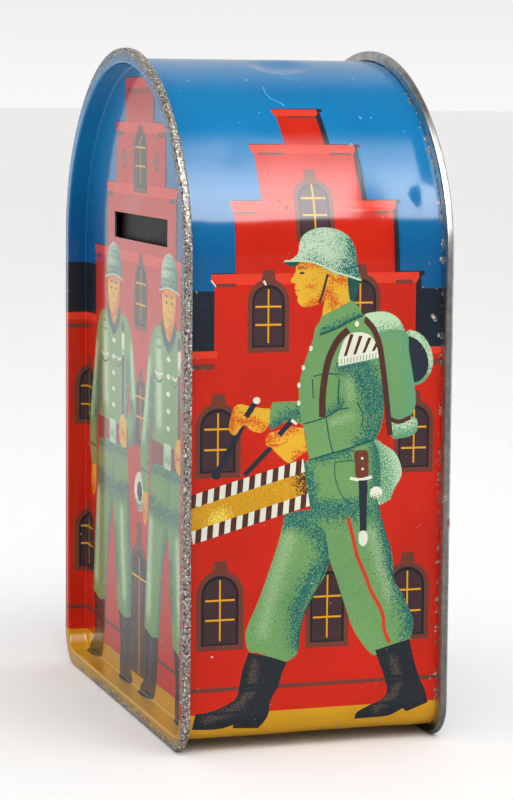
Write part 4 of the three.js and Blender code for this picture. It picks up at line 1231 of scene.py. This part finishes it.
def lay_guard(picture, m):
    """A standing guard, centred at m."""
    def put(points, ink, shade=None, gleam=None, smooth=True):
        moved = [(p[0] + m, *p[1:]) for p in points]
        moved_rules = [rule and (rule[0], rule[1], [[(x + m, z) for x, z in line] for line in rule[2]])
                       for rule in (shade, gleam)]
        lay(picture, spline(moved) if smooth else [p[:2] for p in moved], ink, *moved_rules)

    def draw(points, width, ink, end_width=None):
        lay(picture, stroke([(x + m, z) for x, z in points], width, end_width), ink)

    put([(-11.4, 36, 0), (-12.0, 29), (-13.2, 21), (-14.0, 13.8, 0), (-9.4, 13.0), (-5.0, 13.8, 0),
        (-4.4, 18), (-3.2, 24), (-1.6, 29), (-0.3, 32.2, 0), (0, 36, 0)], CLOTH,
        shade=(fold, 2.4, [[(-4.6, 14), (-3.0, 24), (-0.8, 31.6)], [(-11.4, 35), (-0.4, 34.6)]]),
        gleam=(CLOTH_PALE, 2.0, [[(-10.4, 32), (-11.6, 17)]]))
    put([(-0.4, 36, 0), (-0.3, 32.2, 0), (0.8, 26.5), (2.2, 19), (3.3, 13.8, 0), (7.6, 13.0),
        (12.0, 13.8, 0), (12.2, 20), (11.4, 27), (10.2, 36, 0)], CLOTH,
        shade=(fold, 2.4, [[(11.9, 15), (11.4, 26), (10, 35)], [(-0.2, 35), (9.8, 34.8)],
        [(1.0, 27), (2.4, 20)]]), gleam=(CLOTH_PALE, 1.8, [[(5.4, 31), (7.4, 17)]]))
    put([(-13.6, 13.9, 0), (-9.4, 13.1), (-5.4, 13.8, 0), (-5.8, 10), (-6.4, 6.2), (-7.6, 3.4), (-9, 2.6),
        (-12.4, 1.9), (-15.8, 1.9), (-16.3, 3.4), (-13.6, 5.4), (-12.9, 8.4)], BOOT,
        gleam=(BOOT_GLOSS, 1.6, [[(-9.6, 12), (-10.6, 6)]]))
    put([(3.8, 13.8, 0), (7.6, 13.1), (11.8, 13.8, 0), (11.6, 9), (11.9, 5.4), (13.0, 2.6), (10, 1.9),
        (5.6, 2.2), (4.6, 4.2), (4.9, 8.4)], BOOT, gleam=(BOOT_GLOSS, 1.6, [[(7.4, 12), (7.2, 6)]]))
    put([(-5.5, 65.2), (-9.5, 63.6), (-10.2, 55), (-9.7, 47), (-10.2, 42), (-11.3, 35.6, 0), (-6, 35.0),
        (0, 34.6), (5, 35.0), (10.2, 35.8, 0), (9.4, 42), (9.0, 47), (9.8, 55), (9.3, 63.6), (5.5, 65.2)],
        CLOTH, shade=(fold, 1.5, [[(-9.4, 58), (-9.2, 48)], [(9.2, 58), (8.8, 48)],
        [(-11, 36), (0, 35), (10, 36)], [(-9.4, 41.6), (8.8, 41.6)]]),
        gleam=(CLOTH_PALE, 2.6, [[(-6.0, 62), (-5.4, 50)]]))
    for side_sign in (-1, 1):
        draw([(side_sign * 0.9 - 0.2, 41.5), (side_sign * 0.5 - 0.2, 35.4)], 0.2, CLOTH_LINE)
    put([(-8.4, 63.9), (-10.9, 62.4), (-12.6, 58), (-14.4, 52), (-16.4, 45.6), (-16.6, 40.4),
        (-15.2, 36.8, 0), (-11.8, 36.8, 0), (-11.4, 42), (-10.4, 48), (-9.4, 55)], CLOTH,
        shade=(fold, 1.4, [[(-10.0, 56), (-10.8, 49), (-11.8, 42)], [(-14.6, 48), (-12.6, 46.4)]]),
        gleam=(CLOTH_PALE, 1.5, [[(-11.6, 58.6), (-14.8, 46)]]))
    draw([(-16.5, 40.4), (-11.7, 40.2)], 0.3, CLOTH_LINE)
    put([(-14.9, 36.8, 0), (-12.2, 36.8, 0), (-12.2, 34.2), (-12.9, 31.8), (-14.2, 31.2), (-15.4, 32.8),
        (-15.6, 34.8)], SKIN, shade=(SKIN_RED, 0.8, [[(-15.4, 36), (-15.2, 32.4)],
        [(-13.8, 33.6), (-13.6, 31.6)]]))
    draw([(6.0, 64.0), (6.2, 56), (6.0, 45)], 1.3, LEATHER)
    put([(5.3, 61.6), (6.9, 61.8), (6.9, 58.6), (5.5, 58.4)], CREAM,
        shade=(PACK, 1.0, [[(5.6, 58.6), (6.8, 58.8)]]))
    put([(8.2, 63.9), (11.2, 62.6), (13.2, 58), (14.6, 52), (14.4, 47), (12.6, 43.6), (8.6, 42.6, 0),
        (8.0, 46.8, 0), (10.3, 49.4), (9.6, 55)], CLOTH, shade=(fold, 1.5,
        [[(9.7, 57), (10.4, 50.2)], [(14.2, 47.4), (12.4, 43.8), (9, 42.9)], [(11.2, 50.4), (13, 49)]]),
        gleam=(CLOTH_PALE, 1.4, [[(11.6, 60), (13.0, 52)]]))
    put([(-10.1, 46.2, 0), (-2.6, 46.0, 0), (-2.6, 42.6, 0), (-10.1, 42.2, 0)], srgb(128, 62, 56), None,
        None, False)
    put([(1.6, 46.0, 0), (9.3, 46.2, 0), (9.3, 42.2, 0), (1.6, 42.6, 0)], srgb(128, 62, 56), None, None,
        False)
    put([(-2.7, 46.4), (1.5, 46.4), (1.5, 42.3), (-2.7, 42.3)], CLOTH_PALE,
        shade=(PACK, 1.1, [[(-1.6, 44), (0.6, 44)]]), smooth=False)
    put([(8.6, 47.0, 0), (6.6, 48.0), (4.4, 47.4), (3.6, 45.6), (4.0, 43.6), (5.6, 42.4), (8.7, 42.6, 0)],
        SKIN, shade=(SKIN_RED, 0.8, [[(3.9, 46.6), (4.2, 43.4)], [(5.4, 44.8), (7.6, 44.6)]]))
    for level in (60.2, 57.4, 54.6, 51.8, 49.0):
        put([(-1.3, level), (-0.1, level + 0.45), (1.1, level), (-0.1, level - 0.45)], CREAM)
    for from_x, to_x in ((-8.4, -3.4), (2.0, 5.0)):
        draw([(from_x, 57.6), ((from_x + to_x) / 2, 57.2), (to_x, 57.6)], 0.4, CREAM)
        draw([(from_x, 56.7), ((from_x + to_x) / 2, 56.0), (to_x, 56.7)], 0.3, CLOTH_LINE)
    put([(-2.9, 68, 0), (2.9, 68, 0), (3.2, 63.6, 0), (0, 62.0, 0), (-3.2, 63.6, 0)], SKIN,
        shade=(SKIN_RED, 1.6, [[(-2.6, 65.4), (0, 64.4), (2.6, 65.4)]]))
    put([(-4.8, 65.6, 0), (-3.6, 66.6, 0), (-1.4, 63.9), (0, 63.0, 0), (1.4, 63.9), (3.6, 66.6, 0),
        (4.8, 65.6, 0), (3.4, 63.2), (0.6, 61.2, 0), (-0.6, 61.2, 0), (-3.4, 63.2)], CLOTH_LINE)
    put([(-3.7, 71.8, 0), (-3.9, 69.6), (-3.5, 67.4), (-2.2, 65.5), (0, 64.7), (2.2, 65.5), (3.5, 67.4),
        (3.9, 69.6), (3.7, 71.8, 0)], SKIN, shade=(SKIN_RED, 1.0,
        [[(-3.6, 71), (3.6, 71)], [(3.6, 69), (2.2, 66), (0.4, 65)]]))
    for eye in (-1.5, 1.5):
        draw([(eye - 0.8, 70.1), (eye, 70.35), (eye + 0.8, 70.1)], 0.26, LEATHER)
        put([(eye - 0.55, 69.2), (eye, 69.5), (eye + 0.55, 69.2), (eye, 69.0)], BOOT)
    draw([(-0.1, 69.4), (-0.35, 67.9), (0.35, 67.75)], 0.2, SKIN_RED)
    draw([(-1.0, 66.65), (0, 66.5), (1.0, 66.65)], 0.28, SKIN_RED)
    put([(-5.8, 70.9, 0), (-4.9, 71.9), (-4.7, 73.8), (-3.3, 76.1), (0, 77.2), (3.3, 76.1), (4.7, 73.8),
        (4.9, 71.9), (5.8, 70.9, 0), (3, 71.4), (0, 71.6), (-3, 71.4)], PACK,
        shade=(fold, 1.6, [[(-5.6, 71.1), (0, 71.7), (5.6, 71.1)], [(4.5, 74.6), (5, 72)]]),
        gleam=(srgb(214, 230, 204), 3.2, [[(-2.6, 74.6), (-0.6, 75.8)]]))
    draw([(-5.8, 70.9), (-3, 71.4), (0, 71.6), (3, 71.4), (5.8, 70.9)], 0.3, CLOTH_PALE)


lay_guard(guard_front, -17.0)
lay_guard(guard_front, 17.6)

slot_low, slot_high, slot_half = 78.1, 82.5, 16.5
coin_slot = rectangle(-slot_half, slot_half, slot_low, slot_high)


def front_wear(t, u):
    """Varnish and ink are gone from the outer corner of the rim, less so on its left, and thin on its top."""
    corner = 0.88 * smooth_step(4.6, 5.8, t) * (1 - 0.4 * smooth_step(7.2, 7.9, t))
    top = 0.3 * smooth_step(3.2, 3.9, t) * (1 - smooth_step(4.6, 5.6, t))
    handled = 0.42 + 0.58 * smooth_step(-34, -6, u)
    return (corner + top) * handled


front_panel = pressed_panel(
    "printed_front_panel", -1, guard_front, [coin_slot], 1.0, front_wear, (printed, plain))
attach(front_panel, "shell")
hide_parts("front_panel")


# ---- Plain back panel ----
# The same pressing in bare tinplate, with its rim folded over the body's other flange. The door's opening
# and the holes for the hinge's rivets are punched through it.
opening_half, opening_low, opening_high, opening_round = 17, 16, 48, 2
hinge_rivet_x, hinge_rivet_zs = 24.0, (32 + 28 / 3, 32 - 28 / 3)
rivet_hole = 0.9


def rounded_rectangle(left, right_, low, high, radius, steps=5):
    """A rectangle with rounded corners."""
    corners = ((right_ - radius, low + radius, -90), (right_ - radius, high - radius, 0),
               (left + radius, high - radius, 90), (left + radius, low + radius, 180))
    return [(x + radius * cos(radians(start + 90 * k / steps)), z + radius
        * sin(radians(start + 90 * k / steps))) for x, z, start in corners for k in range(steps + 1)]


door_opening = rounded_rectangle(-opening_half, opening_half, opening_low, opening_high, opening_round)
rivet_holes = [circle((hinge_rivet_x, z), rivet_hole, 16) for z in hinge_rivet_zs]
bare_front = []
lay(bare_front, rectangle(-reach, reach, -8, height + 8), GROUND)
back_panel = pressed_panel(
    "plain_back_panel", 1, bare_front, [door_opening] + rivet_holes, 2.0, lambda t, u: 0.0, (plain, plain))
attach(back_panel, "shell")
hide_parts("back_panel")


# ---- Coin flap, bracket and wire ----
# Tin behind the slot, near black as painted shade for the dark seen through it: a flap curled round a
# wire, and a bracket with two ears that is soldered to the front panel. The wire's ends are headed over.
slot_shade_black = metal_material("blacked_tin", srgb(30, 29, 29), srgb(14, 13, 14), 0.5, srgb(60, 46, 38), 0.38,
                         (1, 1, 1), 0.0)
wire_steel = metal_material("steel_wire", srgb(176, 176, 176), srgb(120, 120, 122), 0.28, srgb(96, 66, 48),
    0.36, (0.4, 0.4, 0.4))


def cad_piece(node, name, body, material):
    """A CAD node's shape with its round faces shaded smooth, in a material of its own."""
    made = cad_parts[node].copy()
    made.data = made.data.copy()
    made.name = name
    bpy.context.scene.collection.objects.link(made)
    work = bmesh.new()
    work.from_mesh(made.data)
    bmesh.ops.remove_doubles(work, verts=work.verts, dist=1e-6)
    for edge_ in work.edges:
        edge_.smooth = len(edge_.link_faces) == 2 and edge_.calc_face_angle(pi) < radians(32)
    for face_ in work.faces:
        face_.smooth = True
    work.to_mesh(made.data)
    work.free()
    made.data.materials.clear()
    made.data.materials.append(material)
    for key in [k for k in made.keys() if k.startswith("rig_")]:
        del made[key]
    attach(made, body)
    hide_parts(node)
    return made


# The flap and bracket carry the near-black painted shade of the slot's inside.
cad_piece("coin_flap", "shade_black_coin_flap", "flap", slot_shade_black)
cad_piece("flap_bracket", "shade_black_flap_bracket", "shell", slot_shade_black)
cad_piece("flap_pin", "flap_wire", "shell", wire_steel)


# ---- Door, hinge and lock ----
# Bare tinplate door that hangs on a knuckle hinge. The lock case is riveted behind its keyhole, and holds
# a sliding bolt, a post for the key, a guide pin and a bowed spring that presses on the bolt.
dull = metal_material("dull_tin", srgb(158, 156, 150), srgb(112, 111, 108), 0.4, srgb(98, 68, 50), 0.35)
spring_blue = metal_material("spring_steel", srgb(92, 98, 112), srgb(58, 62, 72), 0.32, srgb(80, 58, 48), 0.4)
cad_piece("trap_door", "trap_door_sheet", "door", plain)
cad_piece("hinge_leaf", "hinge_leaf_sheet", "shell", plain)
cad_piece("hinge_pin", "hinge_wire", "shell", wire_steel)
cad_piece("lock_case", "pressed_lock_case", "door", dull)
cad_piece("lock_bolt", "sliding_bolt", "bolt", wire_steel)
cad_piece("key_post", "turned_key_post", "door", wire_steel)
cad_piece("bolt_guide_pin", "turned_guide_pin", "door", wire_steel)
cad_piece("bolt_spring", "bowed_spring", "door", spring_blue)


# ---- Rivets ----
# Soft tin-plated rivets with domed heads outside and flat, hammered tails inside. Two hold the hinge's
# leaf to the back panel, and two hold the lock case to the door.
rivet_crown = 0.0007     # height of the domed head
rivet_tail = tin * MM    # thickness of the hammered tail
rivet_sides = 28
rivet_tree = bpy.data.node_groups.new("rivet_row", "GeometryNodeTree")
rivet_tree.interface.new_socket("Geometry", in_out="OUTPUT", socket_type="NodeSocketGeometry")
rivet_inputs = {}
for label, value in (("Head Radius", 0.0015), ("Head Height", rivet_crown), ("Shank Radius", 0.0008),
                     ("Grip", 0.0011), ("Tail Thickness", rivet_tail)):
    socket = rivet_tree.interface.new_socket(label, in_out="INPUT", socket_type="NodeSocketFloat")
    socket.default_value = value
    rivet_inputs[label] = socket.identifier
for label in ("First", "Step"):
    socket = rivet_tree.interface.new_socket(label, in_out="INPUT", socket_type="NodeSocketVector")
    rivet_inputs[label] = socket.identifier
socket = rivet_tree.interface.new_socket("Material", in_out="INPUT", socket_type="NodeSocketMaterial")
rivet_inputs["Material"] = socket.identifier
nodes, links = rivet_tree.nodes, rivet_tree.links
given = nodes.new("NodeGroupInput")
shown = nodes.new("NodeGroupOutput")


def placed(geometry, offset=None, scale=None):
    """Moves or scales a rivet's part. offset and scale are (x, y, z) of numbers or sockets."""
    made = nodes.new("GeometryNodeTransform")
    links.new(geometry, made.inputs["Geometry"])
    for key, values in (("Translation", offset), ("Scale", scale)):
        if values:
            joined = nodes.new("ShaderNodeCombineXYZ")
            for axis, value in enumerate(values):
                if isinstance(value, (int, float)):
                    joined.inputs[axis].default_value = value
                else:
                    links.new(value, joined.inputs[axis])
            links.new(joined.outputs["Vector"], made.inputs[key])
    return made.outputs["Geometry"]


ball = nodes.new("GeometryNodeMeshUVSphere")
ball.inputs["Segments"].default_value = rivet_sides
ball.inputs["Rings"].default_value = 16
links.new(given.outputs["Head Radius"], ball.inputs["Radius"])
flatness = arithmetic(nodes, links, "DIVIDE", given.outputs["Head Height"], given.outputs["Head Radius"])
smooth_ball = nodes.new("GeometryNodeSetShadeSmooth")
links.new(ball.outputs["Mesh"], smooth_ball.inputs["Geometry"])
dome = placed(smooth_ball.outputs["Geometry"], None, (1, 1, flatness))
trim = nodes.new("GeometryNodeMeshBoolean")
cutter = nodes.new("GeometryNodeMeshCube")
cutter_size = 0.01
cutter.inputs["Size"].default_value = (cutter_size, cutter_size, cutter_size)
trim.operation = "DIFFERENCE"
links.new(dome, trim.inputs["Mesh 1"])
links.new(placed(cutter.outputs["Mesh"], (0, 0, -cutter_size / 2)), trim.inputs["Mesh 2"])
rods = []
below = arithmetic(nodes, links, "MULTIPLY", given.outputs["Grip"], -0.5)
tail_drop = arithmetic(nodes, links, "MULTIPLY_ADD", given.outputs["Tail Thickness"], -0.5,
                       arithmetic(nodes, links, "MULTIPLY", given.outputs["Grip"], -1.0))
for radius, length, drop in ((given.outputs["Shank Radius"], given.outputs["Grip"], below),
                             (given.outputs["Head Radius"], given.outputs["Tail Thickness"], tail_drop)):
    rod = nodes.new("GeometryNodeMeshCylinder")
    rod.inputs["Vertices"].default_value = rivet_sides
    links.new(radius, rod.inputs["Radius"])
    links.new(length, rod.inputs["Depth"])
    rods.append(placed(rod.outputs["Mesh"], (0, 0, drop)))
whole = nodes.new("GeometryNodeJoinGeometry")
for part in [trim.outputs["Mesh"]] + rods:
    links.new(part, whole.inputs["Geometry"])
row = nodes.new("GeometryNodeMeshLine")
row.inputs["Count"].default_value = 2
links.new(given.outputs["First"], row.inputs["Start Location"])
links.new(given.outputs["Step"], row.inputs["Offset"])
spread = nodes.new("GeometryNodeInstanceOnPoints")
links.new(row.outputs["Mesh"], spread.inputs["Points"])
links.new(whole.outputs["Geometry"], spread.inputs["Instance"])
spread.inputs["Rotation"].default_value = (-pi / 2, 0, 0)
real = nodes.new("GeometryNodeRealizeInstances")
links.new(spread.outputs["Instances"], real.inputs["Geometry"])
coated = nodes.new("GeometryNodeSetMaterial")
links.new(real.outputs["Geometry"], coated.inputs["Geometry"])
links.new(given.outputs["Material"], coated.inputs["Material"])
links.new(coated.outputs["Geometry"], shown.inputs["Geometry"])


def rivet_pair(name, body, upper, lower):
    """Two rivets in the places of two CAD rivets."""
    top_low, top_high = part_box(upper)
    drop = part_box(lower)[0][2] - top_low[2]
    first = [(top_low[0] + top_high[0]) / 2, top_high[1] - rivet_crown, (top_low[2] + top_high[2]) / 2]
    made = bpy.data.objects.new(name, bpy.data.meshes.new(name))
    bpy.context.scene.collection.objects.link(made)
    modifier = made.modifiers.new("rivets", "NODES")
    modifier.node_group = rivet_tree
    modifier[rivet_inputs["Head Radius"]] = (top_high[0] - top_low[0]) / 2
    modifier[rivet_inputs["Grip"]] = top_high[1] - rivet_crown - top_low[1] - rivet_tail
    modifier[rivet_inputs["First"]] = first
    modifier[rivet_inputs["Step"]] = [0.0, 0.0, drop]
    modifier[rivet_inputs["Material"]] = dull
    evaluated = made.evaluated_get(bpy.context.evaluated_depsgraph_get())
    mesh = bpy.data.meshes.new_from_object(evaluated)
    made.modifiers.clear()
    made.data = mesh
    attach(made, body)
    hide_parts(upper, lower)


rivet_pair("hinge_rivets", "shell", "hinge_rivet_upper", "hinge_rivet_lower")
rivet_pair("lock_rivets", "door", "lock_rivet_upper", "lock_rivet_lower")
